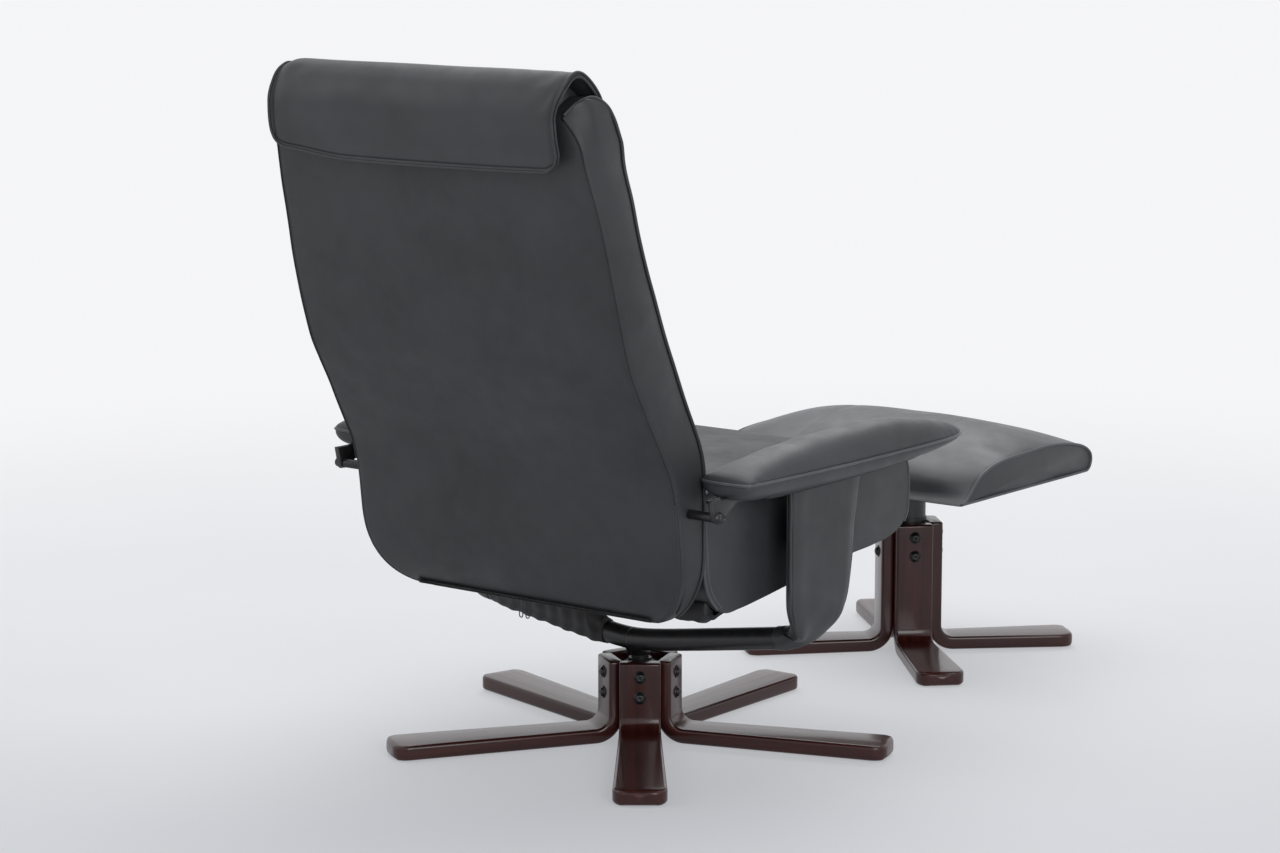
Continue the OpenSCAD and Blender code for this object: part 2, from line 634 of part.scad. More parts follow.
// Section shares of an arm pad, anticlockwise from the outer piping: [half width, height]
arm_section_shares = [[1, 0], [0.985, 0.22], [0.93, 0.45], [0.82, 0.66], [0.64, 0.83], [0.38, 0.955],
  [0.1, 1], [-0.2, 0.985], [-0.48, 0.91], [-0.72, 0.76], [-0.88, 0.55], [-0.97, 0.28], [-1, 0],
  [-0.98, -0.35], [-0.88, -0.78], [-0.64, -1], [0, -1], [0.64, -1], [0.88, -0.78], [0.98, -0.35]];
module arm_pad() {
  difference() {
    loft([for (s = arm_shares) [for (p = arm_section_shares)
      [arm_x + (s[2] + p[0] * s[1]) * arm_w, s[0] * seat_d,
        max(arm_board_z, arm_base_z + (s[4] + p[1] * (p[1] > 0 ? s[5] - s[4] : s[4] - s[3])) * arm_t)]]]);
    translate([arm_x - board_half_w, -board_reach, arm_board_z - over])
      cube([2 * board_half_w, 2 * board_reach, board_t + over]);
    translate([upright_x - plate_w / 2, plate_front_y, arm_board_z - over])
      cube([plate_w, plate_rear_y - plate_front_y, plate_t + over]);
  }
}
module arm_pad_left() {
  color([0.07, 0.08, 0.08])
    chair()
      arm_pad();
}
module arm_pad_right() {
  color([0.07, 0.08, 0.08])
    chair()
      mirror([1, 0, 0])
        arm_pad();
}

// Pivot rod with its washers and caps
rod_washer_t = 2.4;
rod_cap_t = 4;
rod_cap_d = 13.5;
rod_washer_r = 8;
washer_teeth = 16;
rod_half_l = ear_x + 2 * rod_washer_t;
module pivot_rod() {
  color([0.09, 0.09, 0.1])
    chair()
      translate([0, pivot_y, pivot_z])
        rod_x(-rod_half_l, rod_half_l, rod_d);
}
module tooth_washer(x) {
  translate([x, 0, 0])
    rotate([0, 90, 0])
      linear_extrude(rod_washer_t)
        difference() {
          polygon([for (k = [0:2 * washer_teeth - 1])
            (k % 2 == 0 ? rod_washer_r : rod_washer_r * 0.86)
            * [cos(k * 180 / washer_teeth), sin(k * 180 / washer_teeth)]]);
          circle(d = rod_d);
        }
}
module rod_hardware() {
  color([0.09, 0.09, 0.1])
    chair()
      translate([0, pivot_y, pivot_z])
        both_sides() {
          tooth_washer(ear_x);
          tooth_washer(ear_x + rod_washer_t);
          rod_x(rod_half_l, rod_half_l + rod_cap_t, rod_cap_d);
        }
}

// Slotted rails on the uprights: two studs of the seat slide in each
stud_d = 10;
stud_head_d = 14;
stud_head_t = 2;
seat_travel = 56;
stud_y = [-61, 17];
rail_h = 48;
rail_boss_d = 16;
frame_h = 20;
frame_w = 25;
frame_wall = 2;
spring_d = 3.5;
cushion_base_z = seat_h * 354 / 450;
frame_top_z = cushion_base_z - touch - spring_d;
stud_z = frame_top_z - frame_h / 2;
rail_base_z = stud_z - stud_d - over;
rail_bolt_z = rail_base_z + rail_h - rail_boss_d / 2 - over;
function rail_bolt_y() = [tube_y];
module seat_rail() {
  difference() {
    translate([rail_in_x, stud_y[0] - seat_travel - stud_d, rail_base_z])
      cube([rail_t, stud_y[1] - stud_y[0] + seat_travel + 2 * stud_d, rail_h]);
    for (y = stud_y) {
      for (dy = [0, -seat_travel])
        translate([0, y + dy, stud_z])
          rod_x(rail_in_x - over, rail_in_x + rail_t + over, stud_d + 2 * run_gap);
      translate([rail_in_x - over, y - seat_travel, stud_z - stud_d / 2 - run_gap])
        cube([rail_t + 2 * over, seat_travel, stud_d + 2 * run_gap]);
    }
  }
  translate([0, tube_y, rail_bolt_z])
    rod_x(rail_in_x + rail_t, upright_x - tube_d / 2, rail_boss_d);
}
module seat_rail_left() {
  color([0.5, 0.5, 0.52])
    chair()
      seat_rail();
}
module seat_rail_right() {
  color([0.5, 0.5, 0.52])
    chair()
      mirror([1, 0, 0])
        seat_rail();
}
module frame_screws() {
  color([0.6, 0.6, 0.62])
    chair()
      both_sides()
        for (y = board_screw_y())
          translate([upright_x, y, 0])
            board_screw();
}

// Seat: steel frame with studs, zigzag springs, leather box, cushion and cloth bag
frame_out_x = seat_half_w - leather_t;
frame_front_y = -seat_d * 0.49;
frame_rear_y = seat_d * 0.4;
module frame_ring(inner) {
  x = frame_out_x - inner;
  w = frame_w - 2 * inner;
  y0 = frame_front_y + inner;
  y1 = frame_rear_y - inner;
  z0 = frame_top_z - frame_h + inner;
  h = frame_h - 2 * inner;
  for (s = [-x, x - w])
    translate([s, y0, z0])
      cube([w, y1 - y0, h]);
  for (y = [y0, y1 - w])
    translate([-x, y, z0])
      cube([2 * x, w, h]);
}
module seat_frame() {
  color([0.13, 0.13, 0.14])
    chair()
      difference() {
        frame_ring(0);
        frame_ring(frame_wall);
      }
}
module seat_studs() {
  color([0.55, 0.55, 0.57])
    chair()
      both_sides()
        for (y = stud_y)
          translate([0, y, stud_z]) {
            rod_x(frame_out_x, rail_in_x + rail_t + 2 * touch, stud_d);
            rod_x(rail_in_x + rail_t + 2 * touch, rail_in_x + rail_t + 2 * touch + stud_head_t,
              stud_head_d);
          }
}
// A zigzag of flat wire along +Y, from z = 0 upwards
module zigzag(length, swing, turns, d) {
  pts = [for (i = [0:turns])
    [(i == 0 || i == turns ? 0 : (i % 2 == 0 ? swing : -swing)), i * length / turns]];
  linear_extrude(d)
    polygon(concat([for (p = pts) p + [d, 0]], [for (i = [turns:-1:0]) pts[i] - [d, 0]]));
}
seat_springs_n = 5;
spring_swing = 22;
spring_turns = 16;
module seat_springs() {
  color([0.5, 0.5, 0.52])
    chair()
      for (i = [0:seat_springs_n - 1])
        translate([(i - (seat_springs_n - 1) / 2) * seat_half_w / 3, frame_front_y + frame_w / 2,
          frame_top_z])
          zigzag(frame_rear_y - frame_front_y - frame_w, spring_swing, spring_turns, spring_d);
}
seat_outer = seat_pts(seat_side_shares);
module seat_cover() {
  color([0.07, 0.08, 0.08])
    chair()
      difference() {
        side_extrude(seat_outer, -seat_half_w, seat_half_w);
        difference() {
          side_extrude(seat_inner(), -seat_half_w + leather_t, seat_half_w - leather_t);
        }
        both_sides()
          for (y = stud_y)
            translate([0, y, stud_z])
              rod_x(frame_out_x - over, seat_half_w + over, stud_d);
      }
}
// The box's inside: its outline drawn in, and open at the top
function seat_inner() =
  let (k = [for (i = [0:len(seat_outer) - 1])
    if (seat_side_shares[i][1] < 0.951) inset(seat_outer, leather_t)[i]])
  concat([[k[0][0], seat_h + over]], k, [[k[len(k) - 1][0], seat_h + over]]);
// Crowned cushion: its side outline is lifted towards the middle of its width
seat_lift = 12;
seat_cushion_u_shares = [-1, -0.985, -0.93, -0.82, -0.66, -0.45, -0.22, 0,
  0.22, 0.45, 0.66, 0.82, 0.93, 0.985, 1];
module seat_cushion() {
  w = seat_half_w - leather_t - touch;
  color([0.07, 0.08, 0.08])
    chair()
      loft([for (u = seat_cushion_u_shares) [for (p = seat_cushion_shares)
        let (y = p[0] * seat_d, z = p[1] * seat_h)
        [u * w, y, z > seat_h * 0.9 ? z - seat_edge_drop * pow(abs(u), 12)
            + seat_lift * (1 - pow(abs(u), 2.4)) * look(p[0], seat_lift_shares) : z]]]);
}
seat_edge_drop = 6;
// Lift of the cushion's middle along its depth, from the front
seat_lift_shares = [[-0.5, 0.1], [-0.37, 0.3], [-0.2, 0.7], [0, 1], [0.25, 0.9], [0.44, 0.6]];
seat_bag_shares = [[150, 260.2], [162, 253], [176, 246.5], [190, 244.5], [200, 247], [206, 255], [207, 268],
  [206, 280.4], [195.3, 269.6], [177.2, 259.6]];
seat_bag_w_share = 0.96;
module seat_bag() {
  color([0.05, 0.05, 0.05])
    chair()
      side_extrude([for (p = seat_bag_shares) [p[0] * seat_d / 510, p[1] * seat_h / 450]],
        -seat_half_w * seat_bag_w_share, seat_half_w * seat_bag_w_share);
}

// Back: leather tray, ladder frame with pivot bushes, springs, cushion, bolster and flap
back_outer = concat(back_pts(back_rear_shares), back_pts(back_top_shares), back_pts(back_front_shares));
back_front_n = len(back_front_shares);
back_width = concat([for (p = back_width_shares) [p[0] * back_half_w, back_z + p[1] * back_h]],
  [for (i = [len(back_width_shares) - 1:-1:0])
    [-back_width_shares[i][0] * back_half_w, back_z + back_width_shares[i][1] * back_h]]);
function back_front_y(z) = back_y + back_h * look((z - back_z) / back_h,
  [for (i = [back_front_n - 1:-1:0]) [back_front_shares[i][1], back_front_shares[i][0]]]);
function back_w(z) = back_half_w * look((z - back_z) / back_h,
  [for (p = back_width_shares) [p[1], p[0]]]);
back_open_z = back_z + back_h * 0.305;
function back_inner() =
  let (k = inset(concat(back_pts(back_rear_shares), back_pts(back_top_shares)), leather_t),
    n = len(k), f = back_pts(back_front_shares))
  concat([[back_y + leather_t, back_z + leather_t]], [for (i = [1:n - 2]) k[i]],
    [for (p = f) if (p[1] > back_open_z) [p[0] - over, p[1] - over]],
    [[back_y - over, back_open_z], [back_y + leather_t, back_open_z]]);
slot_r = 7.5;
slot_run = 14;
module back_cover() {
  color([0.07, 0.08, 0.08])
    chair()
      difference() {
        intersection() {
          side_extrude(back_outer, -back_half_w - over, back_half_w + over);
          front_extrude(back_width, 0, back_y + back_h);
        }
        intersection() {
          side_extrude(back_inner(), -back_half_w, back_half_w);
          front_extrude(inset(back_width, leather_t), 0, back_y + back_h);
        }
        translate([0, pivot_y, pivot_z]) {
          rod_x(-back_half_w - over, back_half_w + over, 2 * slot_r);
          translate([0, -slot_run * 0.7, slot_run * 0.5])
            rod_x(-back_half_w - over, back_half_w + over, 2 * slot_r * 0.7);
        }
      }
}
bush_wall = 3;
plate_x = back_half_w * 0.86;
plate_bar_t = 5;
bar_d = 20;
bar_wall = 2;
pad_in = 14;
back_plate_w = 26;
cushion_in = pad_in - over;
function plate_front_pt(z) = [back_front_y(z) + pad_in, z];
back_levels_shares = [0.34, 0.40, 0.45, 0.52, 0.6, 0.7, 0.8, 0.9, 0.96];
back_bar_shares = [0.12, 0.36, 0.62, 0.93];
function back_level(s) = back_z + s * back_h;
module back_frame() {
  rear = back_lower_d - leather_t - over / 2;
  color([0.13, 0.13, 0.14])
    chair()
      difference() {
        union() {
          both_sides()
            side_extrude(concat(
              [[back_y + pad_in, back_pt(back_rear_shares[3])[1]]],
              [for (i = [3:5]) back_pt(back_rear_shares[i]) - [2 * leather_t, 0]],
              [[back_y + rear * 0.93, pivot_z], [back_y + pad_in + back_plate_w, back_level(0.3)]],
              [for (s = back_levels_shares) plate_front_pt(back_level(s)) + [back_plate_w, 0]],
              [for (i = [len(back_levels_shares) - 1:-1:0])
                plate_front_pt(back_level(back_levels_shares[i]))],
              [[back_y + pad_in, back_level(0.3)]]),
              plate_x - plate_bar_t, plate_x);
          both_sides()
            translate([0, pivot_y, pivot_z])
              rod_x(plate_x - 2 * plate_bar_t, back_half_w - leather_t - over, rod_d + 2 * bush_wall);
          for (s = back_bar_shares)
            translate([0, back_front_y(back_level(s)) + pad_in + bar_d / 2, back_level(s)])
              rod_x(-plate_x + plate_bar_t, plate_x - plate_bar_t, bar_d);
        }
        translate([0, pivot_y, pivot_z])
          rod_x(-back_half_w, back_half_w, rod_d + 2 * run_gap);
        for (s = back_bar_shares)
          translate([0, back_front_y(back_level(s)) + pad_in + bar_d / 2, back_level(s)])
            rod_x(-plate_x + plate_bar_t, plate_x - plate_bar_t, bar_d - 2 * bar_wall);
      }
}
back_springs_shares = [0.44, 0.52, 0.69, 0.77, 0.85];
module back_springs() {
  color([0.5, 0.5, 0.52])
    chair()
      for (s = back_springs_shares)
        translate([-plate_x + plate_bar_t, back_front_y(back_level(s)) + pad_in + back_plate_w / 2,
          back_level(s)])
          rotate([90 - back_lean, 0, 0])
            rotate([0, 0, -90])
              zigzag(2 * (plate_x - plate_bar_t), spring_swing * 0.7, spring_turns, spring_d);
}
back_lean = 20;

// Crown shares of the back cushion: [height along back_h, depth of back_crown]
back_crown_shares = [[0.308, 0.22], [0.318, 0.46], [0.333, 0.66], [0.355, 0.82], [0.39, 0.94], [0.43, 0.99],
  [0.47, 1], [0.51, 0.985], [0.535, 0.95], [0.55, 0.83], [0.565, 0.94], [0.6, 0.96], [0.64, 0.95],
  [0.675, 0.93], [0.705, 0.86], [0.728, 0.74], [0.7395, 0.62]];
back_cushion_u_shares = [1, 0.97, 0.9, 0.78, 0.62, 0.42, 0.2, 0,
  -0.2, -0.42, -0.62, -0.78, -0.9, -0.97, -1];
module back_cushion() {
  color([0.07, 0.08, 0.08])
    chair()
      loft([for (s = back_crown_shares)
        let (z = back_level(s[0]), w = back_w(z) - leather_t - touch, y = back_front_y(z))
        concat([for (u = back_cushion_u_shares)
            [-u * w, y - s[1] * back_crown * (1 - pow(abs(u), 3.2)), z]],
          [[w, y + cushion_in, z], [w / 3, y + cushion_in, z], [-w / 3, y + cushion_in, z],
            [-w, y + cushion_in, z]])]);
}

// Flap over the top: a sheet along its outer line, cut to a rounded outline
flap_t = 9;
flap_half_w = back_half_w * 0.89;
flap_outer = back_pts(flap_shares);
// The inner line is the outer one drawn in, listed forwards then back
flap_inner = inset(flap_outer, flap_t);
flap_n = len(flap_outer);
flap_width_shares = [[0.8, 0.8945], [0.9, 0.9], [0.955, 0.911], [0.985, 0.93], [1, 0.958], [1, 1.02],
  [0.995, 1.045], [0.98, 1.062], [0.955, 1.078], [0.9, 1.09]];
module head_flap() {
  color([0.07, 0.08, 0.08])
    chair()
      intersection() {
        side_extrude(concat(flap_outer, [for (i = [flap_n - 2:-1:1]) flap_inner[i]]),
          -flap_half_w - over, flap_half_w + over);
        front_extrude(concat(
          [for (p = flap_width_shares) [p[0] * flap_half_w, back_level(p[1])]],
          [for (i = [len(flap_width_shares) - 1:-1:0])
            [-flap_width_shares[i][0] * flap_half_w, back_level(flap_width_shares[i][1])]],
          [[0, back_level(0.8945)]]), 0, back_y + back_h);
      }
}
// Head bolster: [front point, point on the back, how far it keeps its front place at the ends]
bolster_shares = [[0.1778, 0.7403, 0.1778, 0.7403, 1.00], [0.2069, 0.8653, 0.2062, 0.8653, 1.00],
  [0.2188, 0.9444, 0.2188, 0.9444, 1.00], [0.2296, 0.9689, 0.2296, 0.9689, 1.00], [0.2437, 0.9964,
  0.2437, 0.9964, 1.00], [0.2551, 1.0188, 0.2551, 1.0188, 1.00], [0.2761, 1.0307, 0.2761, 1.0307, 1.00],
  [0.3014, 1.0356, 0.3014, 1.0356, 1.00], [0.3211, 1.0286, 0.3211, 1.0286, 1.00], [0.3381, 1.0161,
  0.3381, 1.0161, 1.00], [0.3486, 1.0125, 0.3486, 1.0125, 1.00], [0.3590, 1.0153, 0.3590, 1.0153, 1.00],
  [0.3583, 1.0292, 0.3583, 1.0292, 1.00], [0.3521, 1.0431, 0.3521, 1.0431, 1.00], [0.3444, 1.0528,
  0.3444, 1.0528, 1.00], [0.3347, 1.0600, 0.3347, 1.0600, 1.00], [0.3243, 1.0633, 0.3243, 1.0633, 1.00],
  [0.3132, 1.0615, 0.3132, 1.0615, 1.00], [0.3007, 1.0544, 0.3007, 1.0544, 1.00], [0.2868, 1.0439,
  0.2868, 1.0439, 1.00], [0.2764, 1.0336, 0.2764, 1.0336, 1.00], [0.2403, 1.0181, 0.2514, 1.0194, 0.60],
  [0.1875, 0.9792, 0.2375, 0.9861, 0.30], [0.1458, 0.9375, 0.2208, 0.9486, 0.20], [0.1181, 0.8889,
  0.2097, 0.8958, 0.15], [0.1028, 0.8403, 0.2014, 0.8472, 0.12], [0.0986, 0.8014, 0.1917, 0.8056, 0.10],
  [0.1069, 0.7681, 0.1847, 0.7708, 0.10], [0.1347, 0.7431, 0.1806, 0.7472, 0.10]];
bolster_u_shares = [-1, -0.975, -0.9, -0.78, -0.6, -0.4, -0.2, 0, 0.2, 0.4, 0.6, 0.78, 0.9, 0.975, 1];
bolster_in = 22;
module head_bolster() {
  w = flap_half_w - bolster_in;
  color([0.07, 0.08, 0.08])
    chair()
      loft([for (u = bolster_u_shares) [for (r = bolster_shares)
        let (f = back_pt([r[0], r[1]]), b = back_pt([r[2], r[3]]),
          k = r[4] + (1 - r[4]) * (1 - pow(abs(u), 3)), p = b + (f - b) * k)
        [u * w, p[0], p[1]]]]);
}
zip_w = 6;
zip_t = 1.5;
zip_pull_w = 9;
zip_pull_l = 26;
// Middle and slope of the cover's lower rear edge, where the zip is sewn
zip_lo = back_pt(back_rear_shares[1]);
zip_hi = back_pt(back_rear_shares[2]);
zip_at = [0, (zip_lo[0] + zip_hi[0]) / 2, (zip_lo[1] + zip_hi[1]) / 2];
zip_slope = atan2(zip_hi[1] - zip_lo[1], zip_hi[0] - zip_lo[0]);
module back_zip() {
  color([0.05, 0.05, 0.05])
    chair() {
      translate(zip_at)
        rotate([zip_slope, 0, 0])
          translate([-back_half_w * 0.74, -zip_w / 2, -zip_t - touch])
            cube([back_half_w * 1.48, zip_w, zip_t]);
      translate(zip_at + [back_half_w * 0.7, 0, -zip_pull_l - 2 * zip_t])
        cube([zip_pull_w, zip_t, zip_pull_l]);
    }
}
// Wire clips that draw the cover's lower edge together
hook_d = 1.6;
hook_r = 3;
hook_l = 22;
hook_x = [28, 16];
hook_foot = (back_pt(back_rear_shares[0]) + back_pt(back_rear_shares[1])) / 2;
module cover_hooks() {
  color([0.25, 0.25, 0.26])
    chair()
      for (x = hook_x)
        translate([x, hook_foot[0], hook_foot[1] - hook_d / 2 - touch]) {
          for (s = [-hook_r, hook_r])
            translate([s, 0, -hook_l])
              cylinder(h = hook_l, d = hook_d);
          translate([0, 0, -hook_l])
            rotate([-90, 0, 0])
              rotate_extrude(angle = 180)
                translate([hook_r, 0])
                  circle(d = hook_d);
        }
}

// Ottoman
module ottoman_leg(k) {
  color([0.24, 0.08, 0.05])
    ottoman()
      rotate([0, 0, 45 + k * 90])
        leg_with_holes(ottoman_upright_h, ottoman_leg_r, ott_outer_r, 90);
}
ott_hub_top_z = ottoman_upright_h - ott_hub_drop;
ott_hub_base_z = ott_hub_top_z - ott_hub_l;
module ottoman_hub() {
  color([0.12, 0.12, 0.12])
    ottoman()
      difference() {
        rotate([0, 0, 45])
          translate([-ott_apothem, -ott_apothem, ott_hub_base_z])
            cube([2 * ott_apothem, 2 * ott_apothem, ott_hub_l]);
        for (k = [0:3], z = bolt_levels(ottoman_upright_h))
          rotate([0, 0, 45 + k * 90])
            translate([0, 0, z])
              rod_x(ott_apothem - 16, ott_apothem + over, bolt_d);
      }
}
module ottoman_bolts() {
  color([0.1, 0.1, 0.1])
    ottoman()
      for (k = [0:3], z = bolt_levels(ottoman_upright_h))
        rotate([0, 0, 45 + k * 90])
          translate([0, 0, z])
            radial_bolt(ott_outer_r, bolt_l);
}
module ottoman_glides() {
  color([0.15, 0.15, 0.15])
    ottoman()
      for (k = [0:3])
        rotate([0, 0, 45 + k * 90])
          glide_pair(ottoman_leg_r, ott_outer_r);
}
post_wall = 3;
ott_plate_w = 150;
module ottoman_post() {
  color([0.07, 0.07, 0.08])
    ottoman() {
      difference() {
        translate([0, 0, ott_hub_top_z])
          cylinder(h = ottoman_base_h - plate_t - ott_hub_top_z, d = post_d);
        translate([0, 0, ott_hub_top_z + collar_t])
          cylinder(h = ottoman_base_h, d = post_d - 2 * post_wall);
      }
      translate([0, 0, ottoman_upright_h])
        difference() {
          cylinder(h = collar_t, d = collar_d);
          translate([0, 0, -over])
            cylinder(h = collar_t + 2 * over, d = post_d - over);
        }
    }
}
ott_screw_pitch = ott_plate_w - 4 * screw_d;
module plate_screws() {
  for (x = [-1, 1], y = [-1, 1])
    translate([x * ott_screw_pitch / 2, y * ott_screw_pitch / 2, ottoman_base_h - plate_t])
      children();
}
module ottoman_plate() {
  color([0.1, 0.1, 0.11])
    ottoman()
      difference() {
        translate([-ott_plate_w / 2, -ott_plate_w / 2, ottoman_base_h - plate_t])
          cube([ott_plate_w, ott_plate_w, plate_t]);
        plate_screws()
          translate([0, 0, -over])
            cylinder(h = plate_t + 2 * over, d = screw_d);
      }
}
module ottoman_screws() {
  color([0.6, 0.6, 0.62])
    ottoman()
      plate_screws() {
        cylinder(h = plate_t + board_screw_depth, d = screw_d);
        translate([0, 0, -screw_head_h])
          cylinder(h = screw_head_h, d = screw_head_d);
      }
}
ott_board_in = 30;
module ott_board_block(t, grow) {
  translate([-ottoman_w / 2 + ott_board_in, ott_pad_y() + ottoman_y - ottoman_d * 0.4,
    ottoman_base_h - grow])
    cube([ottoman_w - 2 * ott_board_in, ottoman_d * 0.8, t + grow]);
}
module ottoman_board() {
  color([0.7, 0.56, 0.38])
    ottoman()
      difference() {
        ott_board_block(board_t, 0);
        plate_screws()
          cylinder(h = plate_t + board_screw_depth, d = screw_d);
      }
}
// Crown shares of the pad's middle over its ends, along its depth from the front
pad_bump_shares = [[-0.5, 0.35], [-0.43, 0.6], [-0.29, 0.68], [-0.19, 0.8], [-0.09, 0.96], [0, 1],
  [0.09, 0.97], [0.24, 0.75], [0.37, 0.45], [0.5, 0.15]];
pad_u_shares = [-1, -0.985, -0.93, -0.82, -0.64, -0.42, -0.2, 0, 0.2, 0.42, 0.64, 0.82, 0.93, 0.985, 1];
pad_lift = 0.58;
module ottoman_pad() {
  color([0.07, 0.08, 0.08])
    ottoman()
      difference() {
        loft([for (u = pad_u_shares) [for (p = pad_end_shares)
          [u * ottoman_w / 2, ott_pad_y() + ottoman_y + p[0] * ottoman_d,
            ottoman_base_h + p[1] * ottoman_t
              * (1 + pad_lift * (1 - pow(abs(u), 3.2)) * look(p[0], pad_bump_shares))]]]);
        ott_board_block(board_t, over);
      }
}

chair_leg(0);  // chair_leg_1
chair_leg(1);  // chair_leg_2
chair_leg(2);  // chair_leg_3
chair_leg(3);  // chair_leg_4
chair_leg(4);  // chair_leg_5
base_hub();
leg_bolts();
base_glides();
swivel_bush();
spindle();
carrier_tube_left();
carrier_tube_right();
tube_saddle();
arm_sleeve_left();
arm_sleeve_right();
arm_plate_left();
arm_plate_right();
arm_board_left();
arm_board_right();
arm_pad_left();
arm_pad_right();
pivot_rod();
rod_hardware();
seat_rail_left();
seat_rail_right();
frame_screws();
seat_frame();
seat_studs();
seat_springs();
seat_cover();
seat_cushion();
seat_bag();
back_frame();
back_springs();
back_cover();
back_cushion();
head_bolster();
head_flap();
back_zip();
cover_hooks();
ottoman_leg(0);  // ottoman_leg_1
ottoman_leg(1);  // ottoman_leg_2
ottoman_leg(2);  // ottoman_leg_3
ottoman_leg(3);  // ottoman_leg_4
ottoman_hub();
ottoman_bolts();
ottoman_glides();
ottoman_post();
ottoman_plate();
ottoman_board();
ottoman_pad();
ottoman_screws();
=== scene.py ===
"""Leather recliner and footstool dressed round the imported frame. Shapes are worked out in millimetres."""
import math
import bpy
import numpy as np
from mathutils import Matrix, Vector


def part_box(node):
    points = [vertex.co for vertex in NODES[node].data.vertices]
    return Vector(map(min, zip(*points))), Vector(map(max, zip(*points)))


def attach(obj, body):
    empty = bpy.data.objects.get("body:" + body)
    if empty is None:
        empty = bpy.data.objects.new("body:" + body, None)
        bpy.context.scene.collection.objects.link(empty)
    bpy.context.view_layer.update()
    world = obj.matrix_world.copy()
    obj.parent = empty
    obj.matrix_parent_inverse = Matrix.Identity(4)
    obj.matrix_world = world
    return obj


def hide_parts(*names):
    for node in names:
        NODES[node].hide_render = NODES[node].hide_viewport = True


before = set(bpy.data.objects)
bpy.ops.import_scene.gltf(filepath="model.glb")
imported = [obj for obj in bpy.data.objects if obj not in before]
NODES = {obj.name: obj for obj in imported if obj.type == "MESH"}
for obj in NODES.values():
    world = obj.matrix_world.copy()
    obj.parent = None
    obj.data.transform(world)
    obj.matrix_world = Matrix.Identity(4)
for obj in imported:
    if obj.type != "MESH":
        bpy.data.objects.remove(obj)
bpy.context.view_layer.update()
MM = 0.001
COLLECTION = bpy.context.scene.collection
SIDES = (("left", False), ("right", True))


def node_middle(node):
    """Middle of a node's box, in millimetres."""
    low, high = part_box(node)
    return (np.array(low) + np.array(high)) / 2 / MM


CHAIR_AT = np.array([0.0, node_middle("spindle")[1], 0.0])
STOOL_AT = np.array([0.0, node_middle("ottoman_post")[1], 0.0])


# Curves and tables

def column(values):
    """Values as one column."""
    return np.asarray(values)[:, None]


def unit(vectors):
    """Rows scaled to a length of 1."""
    return vectors / column(np.linalg.norm(vectors, axis=1))


def cubic(t, start, end, leave, arrive):
    """Cubic from start to end at t from 0 to 1, with its slopes where it leaves and arrives."""
    return ((2 * t**3 - 3 * t**2 + 1) * start + (t**3 - 2 * t**2 + t) * leave
            + (3 * t**2 - 2 * t**3) * end + (t**3 - t**2) * arrive)


def at_shares(path, shares):
    """Points of a path at shares of its length."""
    run = np.r_[0, np.cumsum(np.linalg.norm(np.diff(path, axis=0), axis=1))]
    want = np.asarray(shares) * run[-1]
    return np.stack([np.interp(want, run, path[:, k]) for k in range(path.shape[1])], axis=1)


def hermite(points, shares, closed=False):
    """Cubic curve through the points with slopes weighted by chord length, at shares of its length."""
    p = np.asarray(points, float)
    if closed:
        p = np.vstack([p[-2:], p, p[:3]])
    step = np.linalg.norm(np.diff(p, axis=0), axis=1)
    slope = np.diff(p, axis=0) / column(step)
    inner = (slope[:-1] * column(step[1:]) + slope[1:] * column(step[:-1])) / column(step[:-1] + step[1:])
    tangent = np.vstack([slope[:1], inner, slope[-1:]])
    if closed:
        p, tangent, step = p[2:-2], tangent[2:-2], step[2:-2]
    spans = len(step)
    fine = np.linspace(0, spans, spans * 24 + 1)
    i = np.minimum(fine.astype(int), spans - 1)
    h = column(step[i])
    return at_shares(cubic(column(fine - i), p[i], p[i + 1], h * tangent[i], h * tangent[i + 1]), shares)


def even(n, closed=False):
    """Shares from 0 to 1, without the last one where the curve is closed."""
    return np.linspace(0, 1, n, endpoint=not closed)


def closed_ring(points, n):
    """A closed outline at n even steps of its length."""
    return hermite(points, even(n, True), closed=True)


def circle(n):
    """Angles of n even steps round a full turn."""
    return np.linspace(0, 2 * np.pi, n, endpoint=False)


def along(x, keys, values):
    """Smooth look-up that keeps a table's own highs and lows: cubic with harmonic mean slopes."""
    k = np.asarray(keys, float)
    v = np.asarray(values, float)
    if k[0] > k[-1]:
        k, v = k[::-1], v[::-1]
    h = np.diff(k)
    d = np.diff(v) / h
    both = d[:-1] * d[1:]
    mid = np.where(both > 0, 2 * both / np.where(d[:-1] + d[1:] == 0, 1, d[:-1] + d[1:]), 0)
    m = np.r_[d[0], mid, d[-1]]
    x = np.clip(x, k[0], k[-1])
    i = np.clip(np.searchsorted(k, x, side="right") - 1, 0, len(h) - 1)
    return cubic((x - k[i]) / h[i], v[i], v[i + 1], h[i] * m[i], h[i] * m[i + 1])


def at_height(z, outline):
    """Smooth look-up in an outline of (place, height) points."""
    places, heights = zip(*outline)
    return along(z, heights, places)


def smooth(x, low, high):
    """Soft step from 0 at low to 1 at high."""
    t = np.clip((x - low) / (high - low), 0, 1)
    return t * t * (3 - 2 * t)


def bell(x, middle, width):
    return np.exp(-((x - middle) / width) ** 2)


def rounding(gap, radius):
    """How far an edge rounded by a quarter circle lies in at a gap from it, as a share of the radius."""
    return 1 - np.sqrt(np.clip(1 - (1 - np.clip(gap, 0, radius) / radius) ** 2, 0, 1))


def crowded(n, pull=0.35):
    """Values from -1 to 1, closer together towards both ends."""
    v = np.linspace(-1, 1, n)
    return v * (1 + pull * (1 - v * v))


def xyz(x, y, z):
    """Grid of points from their three measures."""
    return np.stack(np.broadcast_arrays(x, y, z), axis=-1)


def set_at(x, path):
    """Points (y, z) placed at x."""
    return np.column_stack([np.full(len(path), x), path])


# Meshes

